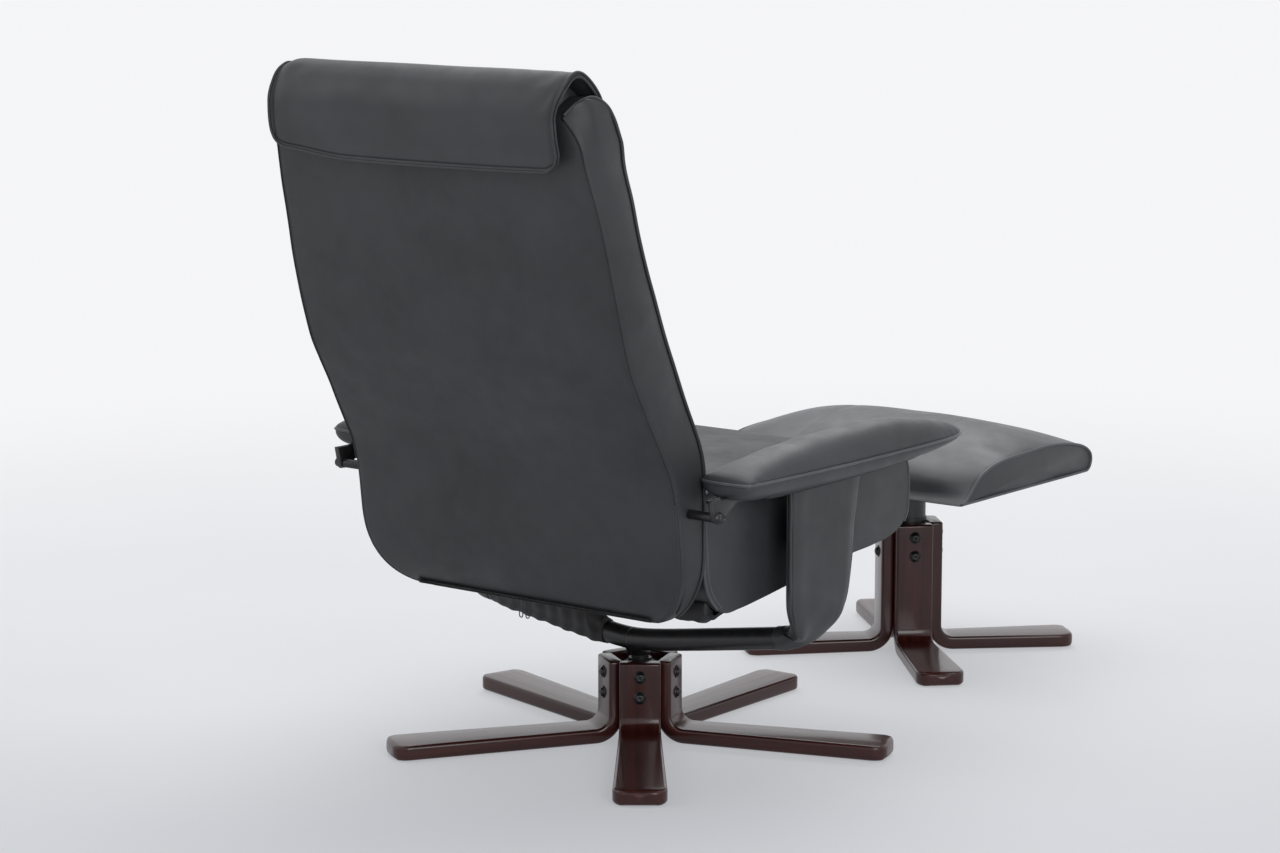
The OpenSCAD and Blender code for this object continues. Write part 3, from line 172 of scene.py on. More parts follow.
def grid_faces(rows, cols, wrap=False, ring=False):
    """Quads of a grid of points, joined across its last column where it wraps and its last row in a ring."""
    i = column(np.arange(rows if ring else rows - 1))
    j = np.arange(cols if wrap else cols - 1)
    near, far = i * cols, (i + 1) % rows * cols
    beside = (j + 1) % cols
    return np.stack([near + j, near + beside, far + beside, far + j], axis=-1).reshape(-1, 4)


def fan_faces(ring, centre):
    """Triangles from a closed ring of vertex numbers to a centre vertex, as quads with a repeated corner."""
    nxt = np.roll(ring, -1)
    return np.stack([np.full(len(ring), centre), ring, nxt, nxt], axis=1)


def loft(grid):
    """Closed skin: rings of points along the first axis, with a fan over each end."""
    n, m, _ = grid.shape
    verts = np.vstack([grid.reshape(-1, 3), grid[0].mean(0)[None], grid[-1].mean(0)[None]])
    ring = np.arange(m)
    faces = np.vstack([grid_faces(n, m, wrap=True), fan_faces(ring[::-1], n * m),
                       fan_faces(ring + (n - 1) * m, n * m + 1)])
    return verts, faces


def shell(outer, inner):
    """Closed sheet with an outer and an inner face, given as two grids that are joined round their rim."""
    n, m, _ = outer.shape
    verts = np.vstack([outer.reshape(-1, 3), inner.reshape(-1, 3)])
    rim = np.r_[np.arange(m), np.arange(1, n) * m + m - 1, (n - 1) * m + np.arange(m - 2, -1, -1),
                np.arange(n - 2, 0, -1) * m]
    nxt = np.roll(rim, -1)
    side = np.stack([nxt, rim, rim + n * m, nxt + n * m], axis=1)
    return verts, np.vstack([grid_faces(n, m), n * m + grid_faces(n, m)[:, ::-1], side])


def tube(path, radius, sides=10, closed=False, flat=1.0):
    """Round cord along a path: rings at right angles to it, carried along without twist."""
    p = np.asarray(path, float)
    n = len(p)
    if closed:
        t = np.roll(p, -1, 0) - np.roll(p, 1, 0)
    else:
        t = np.gradient(p, axis=0)
    t = unit(t)
    across = np.zeros((n, 3))
    start = np.cross(t[0], [0.0, 0.0, 1.0])
    if np.linalg.norm(start) < 0.3:
        start = np.cross(t[0], [1.0, 0.0, 0.0])
    across[0] = start / np.linalg.norm(start)
    for i in range(1, n):
        a = across[i - 1] - t[i] * np.dot(across[i - 1], t[i])
        across[i] = a / np.linalg.norm(a)
    up = np.cross(t, across)
    angle = column(circle(sides))
    r = np.broadcast_to(np.asarray(radius, float), (n,))[:, None, None]
    grid = p[:, None] + r * (np.cos(angle) * across[:, None] + flat * np.sin(angle) * up[:, None])
    if closed:
        return grid.reshape(-1, 3), grid_faces(n, sides, wrap=True, ring=True)
    return loft(grid)


def joined(*parts):
    """Several vertex and face sets as one."""
    verts, faces, count = [], [], 0
    for v, f in parts:
        verts.append(v)
        faces.append(f + count)
        count += len(v)
    return np.vstack(verts), np.vstack(faces)


def signed_volume(verts, faces):
    a, b, c, d = (verts[faces[:, k]] for k in range(4))
    return (np.einsum("ij,ij->i", a, np.cross(b, c)) + np.einsum("ij,ij->i", a, np.cross(c, d))).sum()


def piece(name, parts, body, material, at=CHAIR_AT, replaces=(), uv=None, mirror=False):
    """Makes one mesh object of closed surfaces, each facing outwards, and hands it to the frame."""
    whole = []
    for v, f in parts:
        v = np.asarray(v, float)
        if mirror:
            v = v * [-1, 1, 1]
        if signed_volume(v, f) < 0:
            f = f[:, ::-1]
        whole.append((v, f))
    verts, faces = joined(*whole)
    verts = (verts + at) * MM
    mesh = bpy.data.meshes.new(name)
    mesh.from_pydata(verts.tolist(), [], [list(dict.fromkeys(face)) for face in faces.tolist()])
    if uv is not None:
        layer = mesh.uv_layers.new(name="along")
        corner = np.empty(len(mesh.loops), np.int32)
        mesh.loops.foreach_get("vertex_index", corner)
        layer.data.foreach_set("uv", np.asarray(uv, np.float32)[corner].ravel())
    mesh.validate()
    mesh.shade_smooth()
    obj = bpy.data.objects.new(name, mesh)
    COLLECTION.objects.link(obj)
    obj.data.materials.append(material)
    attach(obj, body)
    if replaces:
        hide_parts(*replaces)
    return obj


# Materials

def feed(tree, node, values):
    """Sets a node's sockets and properties by name. An output socket given as a value is linked."""
    for key, value in values.items():
        if isinstance(value, bpy.types.NodeSocket):
            tree.links.new(value, node.inputs[key])
        elif key in node.inputs:
            node.inputs[key].default_value = value
        else:
            setattr(node, key, value)
    return node


def add(tree, kind, **values):
    """One node with its sockets and properties set by name."""
    return feed(tree, tree.nodes.new(kind), values)


def shader(name):
    """Empty principled material with its nodes at hand."""
    mat = bpy.data.materials.new(name)
    mat.use_nodes = True
    tree = mat.node_tree
    tree.nodes.clear()
    bsdf = add(tree, "ShaderNodeBsdfPrincipled")
    add(tree, "ShaderNodeOutputMaterial", Surface=bsdf.outputs["BSDF"])
    return mat, tree, bsdf


def ramp(tree, source, stops):
    """Colour ramp fed by a factor, with (place, colour) stops."""
    node = add(tree, "ShaderNodeValToRGB", Fac=source)
    marks = node.color_ramp.elements
    while len(marks) < len(stops):
        marks.new(0.5)
    for mark, (place, colour) in zip(marks, stops):
        mark.position = place
        mark.color = (*colour, 1)
    return node.outputs["Color"]


def spread(tree, source, low, high, start, end, kind="LINEAR"):
    """A factor carried from start..end to low..high."""
    node = add(tree, "ShaderNodeMapRange", interpolation_type=kind, Value=source)
    feed(tree, node, {"From Min": start, "From Max": end, "To Min": low, "To Max": high})
    return node.outputs["Result"]


def bump(tree, bsdf, layers):
    """Chain of bumps on the shader's normal, from (height socket, strength, depth in metres)."""
    last = {}
    for height, strength, depth in layers:
        node = add(tree, "ShaderNodeBump", Strength=strength, Distance=depth, Height=height, **last)
        last = {"Normal": node.outputs["Normal"]}
    feed(tree, bsdf, last)


def placed(tree, scale=(1, 1, 1)):
    """Object coordinates through a scaling."""
    where = add(tree, "ShaderNodeTexCoord")
    return add(tree, "ShaderNodeMapping", Scale=scale, Vector=where.outputs["Object"]).outputs["Vector"]


def noise(tree, vector, scale, detail, rough=0.55):
    node = add(tree, "ShaderNodeTexNoise", Scale=scale, Detail=detail, Roughness=rough, Vector=vector)
    return node.outputs["Fac"]


def leather(name, dark, light, rough=(0.42, 0.56), grain=0.22):
    """Upholstery leather: pebbled grain, finer pores, and slow changes of tone and gloss from handling."""
    mat, tree, bsdf = shader(name)
    at = placed(tree)
    slow = noise(tree, at, 5.5, 3.0, 0.6)
    patch = noise(tree, at, 26.0, 5.0, 0.62)
    cells = add(tree, "ShaderNodeTexVoronoi", Scale=620.0, Randomness=0.9, feature="SMOOTH_F1",
                Smoothness=0.35, Vector=at)
    pores = noise(tree, at, 1900.0, 2.0)
    creases = noise(tree, placed(tree, (1.0, 1.0, 1.6)), 55.0, 4.0, 0.6)
    mid = tuple((a + b) / 2 for a, b in zip(dark, light))
    feed(tree, bsdf, {"Base Color": ramp(tree, slow, [(0.3, dark), (0.5, mid), (0.72, light)]),
                      "Roughness": spread(tree, patch, *rough, 0.3, 0.7), "Specular IOR Level": 0.42})
    bump(tree, bsdf, [(creases, 0.10, 0.0012), (cells.outputs["Distance"], grain, 0.0004),
                      (pores, 0.10, 0.0002)])
    return mat


def lacquered_wood(name, dark, mid, light):
    """Stained bent beech under lacquer: long streaks and short flecks run with the grain of the leg."""
    mat, tree, bsdf = shader(name)
    grain = add(tree, "ShaderNodeUVMap", uv_map="along").outputs["UV"]
    streak_at, fleck_at = (add(tree, "ShaderNodeMapping", Scale=scale, Vector=grain).outputs["Vector"]
                           for scale in ((2.2, 60.0, 1.0), (55.0, 900.0, 1.0)))
    streak = noise(tree, streak_at, 1.6, 6.0, 0.62)
    fleck = noise(tree, fleck_at, 1.0, 2.0, 0.5)
    colour = ramp(tree, streak, [(0.28, dark), (0.5, mid), (0.75, light)])
    darker = ramp(tree, fleck, [(0.34, (0.68, 0.62, 0.62)), (0.5, (1, 1, 1))])
    mix = add(tree, "ShaderNodeMix", data_type="RGBA", blend_type="MULTIPLY", Factor=0.6, A=colour, B=darker)
    feed(tree, bsdf, {"Base Color": mix.outputs["Result"], "Specular IOR Level": 0.16,
                      "Roughness": spread(tree, streak, 0.27, 0.40, 0.3, 0.7),
                      "Coat Weight": 0.55, "Coat Roughness": 0.13})
    bump(tree, bsdf, [(fleck, 0.06, 0.0002), (streak, 0.04, 0.0006)])
    return mat


def enamel(name, colour, rough, coat=0.0, metallic=0.0, orange=0.02):
    """Painted or blackened steel: a faint orange peel and a little uneven gloss."""
    mat, tree, bsdf = shader(name)
    at = placed(tree)
    peel = noise(tree, at, 420.0, 2.0)
    wear = noise(tree, at, 60.0, 5.0, 0.65)
    light = tuple(min(1.0, c * 1.5 + 0.004) for c in colour)
    feed(tree, bsdf, {"Base Color": ramp(tree, wear, [(0.4, colour), (0.75, light)]),
                      "Roughness": spread(tree, wear, rough * 0.85, rough * 1.2, 0.3, 0.7),
                      "Metallic": metallic, "Coat Weight": coat, "Coat Roughness": 0.12})
    bump(tree, bsdf, [(peel, orange, 0.0003)])
    return mat


def brushed(name, colour, rough):
    """Bare or plated steel with fine drawn lines."""
    mat, tree, bsdf = shader(name)
    lines = noise(tree, placed(tree, (40.0, 40.0, 900.0)), 1.0, 3.0)
    dark = tuple(c * 0.78 for c in colour)
    feed(tree, bsdf, {"Base Color": ramp(tree, lines, [(0.35, dark), (0.65, colour)]), "Metallic": 1.0,
                      "Roughness": spread(tree, lines, rough * 0.8, rough * 1.25, 0.3, 0.7)})
    bump(tree, bsdf, [(lines, 0.05, 0.0002)])
    return mat


def cloth(name, dark, light, threads, rough, sheen=0.15):
    """Plain weave: two crossed thread waves under a fuzzy tone change."""
    mat, tree, bsdf = shader(name)
    at = placed(tree)
    tone = noise(tree, at, 30.0, 5.0, 0.7)
    waves = [add(tree, "ShaderNodeTexWave", Scale=threads / 6, Distortion=0.6, bands_direction=way, Vector=at)
             for way in "XZ"]
    feed(tree, bsdf, {"Base Color": ramp(tree, tone, [(0.3, dark), (0.7, light)]), "Roughness": rough,
                      "Sheen Weight": sheen})
    bump(tree, bsdf, [(wave.outputs["Fac"], 0.2, 0.0003) for wave in waves])
    return mat


def plywood():
    """Raw plywood: pale face grain with stacked plies."""
    mat, tree, bsdf = shader("raw plywood")
    grain = noise(tree, placed(tree, (120.0, 6.0, 120.0)), 1.0, 5.0, 0.6)
    plies = add(tree, "ShaderNodeTexWave", Scale=110.0, Distortion=0.3, bands_direction="Z",
                Vector=placed(tree))
    feed(tree, bsdf, {"Base Color": ramp(tree, grain, [(0.3, (0.44, 0.29, 0.16)), (0.7, (0.68, 0.51, 0.33))]),
                      "Roughness": 0.7})
    bump(tree, bsdf, [(grain, 0.1, 0.0005), (plies.outputs["Fac"], 0.1, 0.0004)])
    return mat


BLACK_TONES = (0.026, 0.028, 0.030), (0.042, 0.046, 0.050)
HIDE = leather("black hide", *BLACK_TONES)
# The seat's copy of the hide is painted darker: painted shade that dims the lit top of the seat.
HIDE_SEAT_SHADED = leather("black hide on the seat with painted shade", (0.024, 0.0258, 0.0277), (0.039, 0.0427, 0.0464), (0.58, 0.70))
HIDE_STOOL = leather("worn black hide on the stool", *BLACK_TONES, (0.34, 0.46))
# The back panel's copy of the hide is painted darker: painted shade on the upright rear panel.
HIDE_BACK_SHADED = leather("black hide on the back panel with painted shade", (0.020, 0.021, 0.023), (0.034, 0.036, 0.039), (0.44, 0.6))
# Piping on the back, the flap and the sleeves is painted darker than the hide: painted shade along the cords.
WELT_SHADED = leather("piping hide", (0.018, 0.019, 0.021), (0.034, 0.036, 0.039), (0.34, 0.48), 0.12)
# Piping on the seat, the arm pads and the stool is painted lighter than the hide: painted highlight along the
# cords.
WELT_PAINTED_HIGHLIGHT = leather("piping hide with painted highlight", (0.045, 0.048, 0.052), (0.085, 0.090, 0.096), (0.30, 0.42), 0.12)
# Near-black hide for the cord in the back's rear seams: painted shade in the seam's groove.
SEAM_PAINTED_SHADE = leather("painted shade in the seams", (0.006, 0.006, 0.007), (0.010, 0.010, 0.011), (0.6, 0.7), 0.1)
WOOD = lacquered_wood("mahogany stained beech", (0.022, 0.0042, 0.0036), (0.040, 0.0074, 0.0058),
                      (0.064, 0.0135, 0.0098))
BLACK_TUBE = enamel("satin black tube enamel", (0.008, 0.008, 0.009), 0.40, 0.08)
BLACK_STEEL = enamel("satin black steel", (0.010, 0.010, 0.011), 0.42, 0.05)
BLACKENED = enamel("blackened fasteners", (0.035, 0.035, 0.037), 0.36, 0.0, 0.8, 0.05)
ZINC = brushed("zinc plated steel", (0.52, 0.52, 0.54), 0.34)
SPRING = brushed("spring steel", (0.30, 0.30, 0.32), 0.30)
FELT = cloth("dark felt", (0.02, 0.02, 0.02), (0.05, 0.05, 0.05), 2600.0, 0.95)
UNDER_CLOTH = cloth("black under-cloth", (0.004, 0.004, 0.0045), (0.010, 0.010, 0.011), 1500.0, 0.62, 0.0)
PLY = plywood()

CAD_FINISH = [
    (BLACK_STEEL, "base_hub swivel_bush spindle arm_plate_left arm_plate_right seat_rail_left"),
    (BLACK_STEEL, "seat_rail_right seat_frame seat_studs back_frame ottoman_hub ottoman_plate"),
    (BLACK_TUBE, "carrier_tube_left carrier_tube_right tube_saddle ottoman_post"),
    (BLACKENED, "leg_bolts pivot_rod rod_hardware frame_screws cover_hooks ottoman_bolts"),
    (UNDER_CLOTH, "arm_board_left arm_board_right"), (SPRING, "seat_springs back_springs"),
    (FELT, "base_glides ottoman_glides"), (PLY, "ottoman_board"), (ZINC, "ottoman_screws")]
for finish, nodes in CAD_FINISH:
    for node in nodes.split():
        slots = NODES[node].data.materials
        slots.clear()
        slots.append(finish)


# Bent wood legs

LEG_T, LEG_W, TIP_W, TIP_R, BEND_R, GLIDE = 22.0, 62.0, 77.0, 22.0, 20.0, 2.0
LEG_EDGE, LEG_CORNER, TIP_THINNER = 3.2, 5.0, 3.0
CORNER_STEPS = 6
# Each star: legs, bearing of the first one in degrees, radius of the uprights' outer faces, height of the
# uprights, reach of the tips, heights of the bolts
CHAIR_STAR = 5, 127.9, 57.0, 125.0, 384.0, (104.0, 73.0)
STOOL_STAR = 4, 45.0, 51.0, 217.0, 275.0, (196.0, 165.0)


def leg_surface(reach, outer_r, upright_h):
    """Rounded oblong carried down the upright, round the bend and along the foot to its round-cornered tip.
    Stations follow the board's middle line; half width grows along the foot and closes on a circle."""
    mid = outer_r - LEG_T / 2
    bend = BEND_R + LEG_T / 2
    low = GLIDE + LEG_T / 2
    bend_z = GLIDE + LEG_T + BEND_R
    up = upright_h - bend_z
    turn = bend * np.pi / 2
    foot_from = outer_r + BEND_R
    foot = reach - foot_from
    length = up + turn + foot
    ease = np.array([0.0, 0.5, 1.2, 2.2])
    s = np.unique(np.r_[ease, np.linspace(4, up, 8), up + np.linspace(0, turn, 15),
                        up + turn + np.linspace(0, foot - TIP_R, 18),
                        length - TIP_R * (1 - np.sin(np.linspace(0, np.pi / 2, 12)))])
    a = np.clip((s - up) / turn, 0, 1) * np.pi / 2
    run = np.clip(s - up - turn, 0, None)
    r = np.where(s < up, mid, foot_from - bend * np.cos(a)) + run
    z = np.where(s < up, upright_h - s, bend_z - bend * np.sin(a))
    z = np.where(s > up + turn, low, z)
    half = np.interp(r, [outer_r, reach - TIP_R], [LEG_W / 2, TIP_W / 2])
    narrow = LEG_EDGE * rounding(s, LEG_EDGE)
    half = column(half - narrow - TIP_R * rounding(length - s, TIP_R))
    thick = column(LEG_T / 2 - narrow - TIP_THINNER * smooth((s - length) / TIP_R + 1, 0.72, 1.0))
    corner = np.minimum(LEG_CORNER, thick * 0.9)
    q = np.linspace(0, np.pi / 2, CORNER_STEPS)
    cw = np.concatenate([np.cos(q), -np.sin(q), -np.cos(q), np.sin(q)])
    ct = np.concatenate([np.sin(q), np.cos(q), -np.sin(q), -np.cos(q)])
    sw = np.repeat([1, -1, -1, 1], CORNER_STEPS)
    st = np.repeat([1, 1, -1, -1], CORNER_STEPS)
    wide = sw * (half - corner) + cw * corner
    deep = st * (thick - corner) + ct * corner
    verts, faces = loft(xyz(column(r) + deep * np.cos(column(a)), wide, column(z) + deep * np.sin(column(a))))
    grain = np.stack([np.repeat(s, len(sw)), wide.ravel() + deep.ravel() * 0.6], axis=1)
    grain = np.vstack([grain, [[0, 0], [length, 0]]]) * MM
    return verts, faces, grain


def turned(verts, degrees):
    """Points turned about the upright axis."""
    a = math.radians(degrees)
    c, s = math.cos(a), math.sin(a)
    return verts @ np.array([[c, s, 0], [-s, c, 0], [0, 0, 1]])


def make_legs(prefix, star, body, at):
    count, first_angle, outer_r, upright_h, reach, _ = star
    verts, faces, grain = leg_surface(reach, outer_r, upright_h)
    for k in range(count):
        angle = first_angle + k * 360 / count
        piece(f"{prefix}_{k + 1}_wood", [(turned(verts, angle), faces)], body, WOOD, at,
              replaces=(f"{prefix}_{k + 1}",), uv=grain + [0.9 * k, 0.37 * k])


make_legs("chair_leg", CHAIR_STAR, "base", CHAIR_AT)
make_legs("ottoman_leg", STOOL_STAR, "ottoman", STOOL_AT)


# Back: leather tray from its side profile and its outline from behind

REAR = [(236, 245), (246, 251), (258, 263), (270, 283), (279, 308), (285, 338), (289.5, 375), (293, 405),
        (298, 433), (306.5, 463), (320.5, 491), (338.5, 524), (357, 558), (375, 590), (391, 621), (402, 653),
        (412, 686), (420.5, 718), (429, 750), (436, 782), (444, 814), (453, 846), (462, 878), (470, 909),
        (477, 938), (482, 962)]
REAR_TOP = [(482, 962), (476, 976), (464, 985), (450, 990)]
FRONT = [(233, 245), (233, 460), (234, 473), (241, 501), (258, 540), (276.5, 577), (297, 620), (318, 664),
         (339.5, 717), (351, 747), (361, 777), (370, 810), (379, 856), (386, 888), (391, 925), (399, 942)]
FRONT_TOP = [(399, 942), (409, 962), (417, 978), (432, 986.5), (450, 990)]
HALF_W = [(196, 245), (218, 247.5), (240, 256), (259, 270), (274, 289), (284, 310), (290, 332), (292, 360),
          (292, 491), (291, 524), (289.3, 558), (289, 653), (288.3, 718), (287, 750), (285.5, 782),
          (283.5, 814), (281, 846), (277, 878), (274, 909), (274, 938), (274, 960), (273, 977), (269, 987),
          (252, 990.5)]
SHOULDER = 0.9
LOW_EDGE, REAR_SHOULDER, FRONT_SHOULDER = 245, 962, 942
BACK_RISE = 720
INSET, INSET_FROM = 25.0, 915


def half_width(z):
    return at_height(z, HALF_W)


def front_of(z):
    return at_height(z, FRONT)


def shoulder_inset(z, t):
    """How far the rear seam runs in from the shoulder's corner: 25 mm times the square of the rise to it."""
    rise = np.clip((z - INSET_FROM) / (REAR_SHOULDER - INSET_FROM), 0, 1)
    return INSET * rise**2 * (1 - smooth(t, SHOULDER, 0.99))


def profile_pair(t):
    """Rear and front points of the side profile at t: 0 at the lower edge, SHOULDER at the shoulders,
    1 at the crest."""
    low = np.clip(t / SHOULDER, 0, 1)
    over = t > SHOULDER
    high = np.clip((t - SHOULDER) / (1 - SHOULDER), 0, 1)[over]
    pair = []
    for shoulder, outline, crest in ((REAR_SHOULDER, REAR, REAR_TOP), (FRONT_SHOULDER, FRONT, FRONT_TOP)):
        z = LOW_EDGE + (shoulder - LOW_EDGE) * low
        p = np.stack([at_height(z, outline), z], axis=-1)
        p[over] = hermite(crest, high)
        pair.append(p)
    return pair


def seam_dip(distance, depth=1.6):
    """Leather drawn in towards a seam, as a depth that fades with the distance in millimetres."""
    return depth * bell(distance, 0, 5.0)


def back_tray():
    """Rings round the back's side profile: rear panel, side panel, front and side panel again.
    The rear panel swells by a quartic of its width, the side panels by a sine of their depth."""
    t = np.unique(np.r_[np.linspace(0, 0.24, 60), np.linspace(0.24, SHOULDER, 96),
                        np.linspace(SHOULDER, 1, 16)])
    rear, front = profile_pair(t)
    slope = unit(np.gradient(rear, t, axis=0))
    run, ry, rz, fy, fz, out_y, out_z = map(column, (t, *rear.T, *front.T, slope[:, 1], -slope[:, 0]))
    u = crowded(73)
    v = (crowded(31) + 1) / 2
    inset = shoulder_inset(rz, run)
    corner = half_width(rz)
    wr = corner - inset
    wf = half_width(fz)
    panel = smooth(run, 0.02, 0.12) * (1 - smooth(run, 0.88, 0.97))
    swell = 4.5 * (1 - u**4)
    slack = 0.5 * np.sin(u * 7.1 + run * 9.0) * np.sin(run * 23.0 + u * 2.0)
    sag = 1.1 * np.sin(run * 11.0 + 0.6) * (1 - u**2)
    push = (swell + slack + sag) * panel - seam_dip((1 - np.abs(u)) * wr)
    rear_x, rear_y, rear_z = u * wr, ry + push * out_y, rz + push * out_z
    depth = column(np.linalg.norm(rear - front, axis=1))
    arch = np.sin(np.pi * v)
    puff = 4.6 * arch**0.8 * smooth(depth, 20, 50) + 0.6 * np.sin(run * 31.0 + v * 3.0) * arch
    tuck = seam_dip(v * depth) + seam_dip((1 - v) * depth, 2.0)
    side_x = corner + (wf - corner) * v + (puff - tuck) * panel - inset * np.clip(1 - v / 0.45, 0, 1) ** 2
    side_y, side_z = ry + (fy - ry) * v, rz + (fz - rz) * v
    face = np.linspace(1, -1, 25)[1:-1]
    return loft(xyz(np.hstack([rear_x[:, 1:-1], side_x, face * wf, -side_x[:, ::-1]]),
                    np.hstack([rear_y[:, 1:-1], side_y, fy + 0 * face, side_y[:, ::-1]]),
                    np.hstack([rear_z[:, 1:-1], side_z, fz + 0 * face, side_z[:, ::-1]])))


def seam_line(which, low, high, n):
    """The tray's rear or front edge on the person's left, from one share of its rise to another."""
    t = np.linspace(low, high, n)
    rear, front = profile_pair(t)
    p = rear if which == "rear" else front
    inset = shoulder_inset(p[:, 1], t) if which == "rear" else 0
    return np.column_stack([half_width(p[:, 1]) - inset, p])


def both(path):
    """A path and its mirror image."""
    return [path, path * [-1, 1, 1]]


# The tray takes the back panel hide with its painted shade.
piece("back_cover_leather", [back_tray()], "back", HIDE_BACK_SHADED,
      replaces=("back_cover",))


def shoulder_path():
    """Piping from the front edge up to the shoulder, over it and back to the rear seam."""
    edge = seam_line("front", 0.02, SHOULDER * 0.985, 150) + [0.2, -0.3, 0.0]
    shoulder = hermite([edge[-1], (273.5, 408, 962), (272, 416, 974), (269.5, 429, 984), (266.5, 443, 988.8),
                        (262, 458, 986), (257.5, 472, 978.5), (253, 485, 967.5)], even(48))
    return np.vstack([edge, shoulder[1:]])


CORNER_TOP = 0.235
EDGE_CORD, CORNER_CORDS, SEAM_SHADE_CORD = 2.5, (2.1, 1.9), 0.95


def corner_pipes():
    """Two cords side by side on the side panel, round the tray's lower rear corner."""
    seam = seam_line("rear", 0.03, CORNER_TOP, 120) + [0.0, -4.0, 1.5]
    second = seam + [0.8, 0.0, -2.0]
    second[:, 1] -= 9.5 * smooth(seam[:, 2], 246, 275)
    return [tube(p, radius) for path, radius in zip((seam, second), CORNER_CORDS) for p in both(path)]


piece("back_piping", [tube(p, EDGE_CORD) for p in both(shoulder_path())] + corner_pipes(), "back",
      WELT_SHADED)
REAR_SEAM = seam_line("rear", CORNER_TOP, SHOULDER, 150) - [0.35, 0.0, 0.0]
# A near-black cord down the rear seam paints the shade in its groove.
piece("back_seam_shade_cord", [tube(p, SEAM_SHADE_CORD, 6) for p in both(REAR_SEAM)], "back", SEAM_PAINTED_SHADE)

# Zip along the lower edge: two tapes, a coil of small teeth and the slider
ZIP_Y, ZIP_Z = 250.5, 253.0
ZIP_HALF, TAPE_OFF, TAPE_R = 214, 3.4, 2.7
TOOTH_END, TOOTH_PITCH, TOOTH_HALF, TOOTH_R, TOOTH_LIFT = 212, 3.0, 1.6, 0.75, 1.8
SLIDER_X, SLIDER_LIFT = 204.0, 1.6


def zip_parts():
    """Tapes lie on the 45 degree slope under the tray; the teeth are short bars across the gap between."""
    slope = np.array([0, 1, 1]) / math.sqrt(2)
    out = np.array([0, 1, -1]) / math.sqrt(2)
    at = np.array([0, ZIP_Y, ZIP_Z])
    parts = []
    for side in (-1, 1):
        mid = at + slope * side * TAPE_OFF + out
        parts.append(tube([mid - [ZIP_HALF, 0, 0], mid, mid + [ZIP_HALF, 0, 0]], TAPE_R, 8, flat=0.2))
    for x in np.arange(-TOOTH_END, TOOTH_END + 1, TOOTH_PITCH):
        mid = at + out * TOOTH_LIFT + [x, 0, 0]
        parts.append(tube([mid - slope * TOOTH_HALF, mid + slope * TOOTH_HALF], TOOTH_R, 6))
    body = at + out * SLIDER_LIFT + [SLIDER_X, 0, 0]
    slider = body + column([-6, -3, 5, 7]) * [1, 0, 0]
    pull = body - [(4, 0, 0), (12, 0, 0.4), (20, 0, 0.6), (27, 0, 0.4)]
    parts.append(tube(slider, [1.6, 3.6, 3.8, 2.0], 10, flat=0.5))
    parts.append(tube(pull, [1.4, 3.0, 3.2, 2.2], 10, flat=0.35))
    return parts


piece("back_zip_coil", zip_parts(), "back", UNDER_CLOTH, replaces=("back_zip",))

# Head flap: a padded sheet over the top, with rounded corners and a cord along both of its edges

FLAP = [(489.5, 892), (492.5, 915), (497.5, 935), (500.5, 955), (502, 972), (499.5, 988), (494.5, 999.5),
        (486.5, 1009.5), (476.5, 1017.5), (465.5, 1020.8), (454, 1019.2), (442.5, 1012.6), (431.5, 1003.2),
        (423.2, 994.4), (416.5, 985), (412.5, 976.5), (410, 969)]
FLAP_W, FLAP_T, FLAP_L, FLAP_CORNER = 259.0, 9.0, 279.0, 26.0
FLAP_OUT = 1.6
FLAP_IN = 2.4 - FLAP_T
FLAP_CORD_OUT, FLAP_CORD_IN = 2.0, 2.1


def flap_frame(s):
    """Points and outward normals of the flap's side outline at shares s of its length."""
    d = unit(hermite(FLAP, np.clip(s + 0.004, 0, 1)) - hermite(FLAP, np.clip(s - 0.004, 0, 1)))
    return hermite(FLAP, s), np.stack([d[:, 1], -d[:, 0]], axis=-1)


def flap_grid(lift, outer):
    """Flap surface at a lift off its outline: across by along, with quarter-circle corners, and a stitched
    edge and slack folds outside. Its left side starts further back and droops; its right one is narrower."""
    v = (crowded(113, 0.25) + 1) / 2
    x = column(crowded(97, 0.3) * FLAP_W)
    reach = np.abs(x)
    gap = FLAP_W - reach
    cut = FLAP_CORNER * rounding(gap, FLAP_CORNER)
    sag = 3.6 * (1 - (x / FLAP_W) ** 2) - 1.2
    back_set = 12.0 * smooth(x, 120, 250)
    front_set = 17.0 * (1 - smooth(reach, 232, 250))
    start = (cut - sag + back_set) / FLAP_L
    end = 1 - (front_set + cut * 0.45) / FLAP_L
    s = np.clip(start + (end - start) * v, -0.03, 1)
    (py, pz), (ny, nz) = (part.T.reshape(2, *s.shape) for part in flap_frame(np.clip(s, 0, 1).ravel()))
    below = np.clip(-s, 0, None) * FLAP_L
    edge = np.minimum(gap, np.minimum(v, 1 - v) * FLAP_L)
    droop = 9.0 * smooth(x, 222, 262) ** 1.2 * bell(v, 0.5, 0.27)
    push = lift * (0.72 + 0.28 * smooth(edge, 0, 22)) - droop
    if outer:
        stitches = 2.2 * bell(edge, 5.2, 2.6)
        wave = 0.5 * np.sin(x / 31.0 + v * 9) * bell(v, 0.45, 0.3)
        fold = 0.9 * smooth(reach, 150, 250) * np.sin((x + v * 240) / 9.5) * bell(v, 0.52, 0.16)
        push = push - stitches + wave + fold
    narrow = 12.5 * smooth(-x, 130, 259) * (1 - smooth(v, 0.22, 0.5))
    return xyz(x + narrow, py + ny * push, pz + nz * push - below)


flap_out = flap_grid(FLAP_OUT, True)
flap_in = flap_grid(FLAP_IN, False)
piece("head_flap_leather", [shell(flap_out, flap_in)], "back", HIDE, replaces=("head_flap",))


def rim(grid):
    """The closed outline of a grid of points."""
    return np.vstack([grid[:, 0], grid[-1, 1:], grid[-2::-1, -1], grid[0, -2:0:-1]])


def even_loop(path, n):
    """A closed path at even steps of its length."""
    return at_shares(np.vstack([path, path[:1]]), even(n, True))


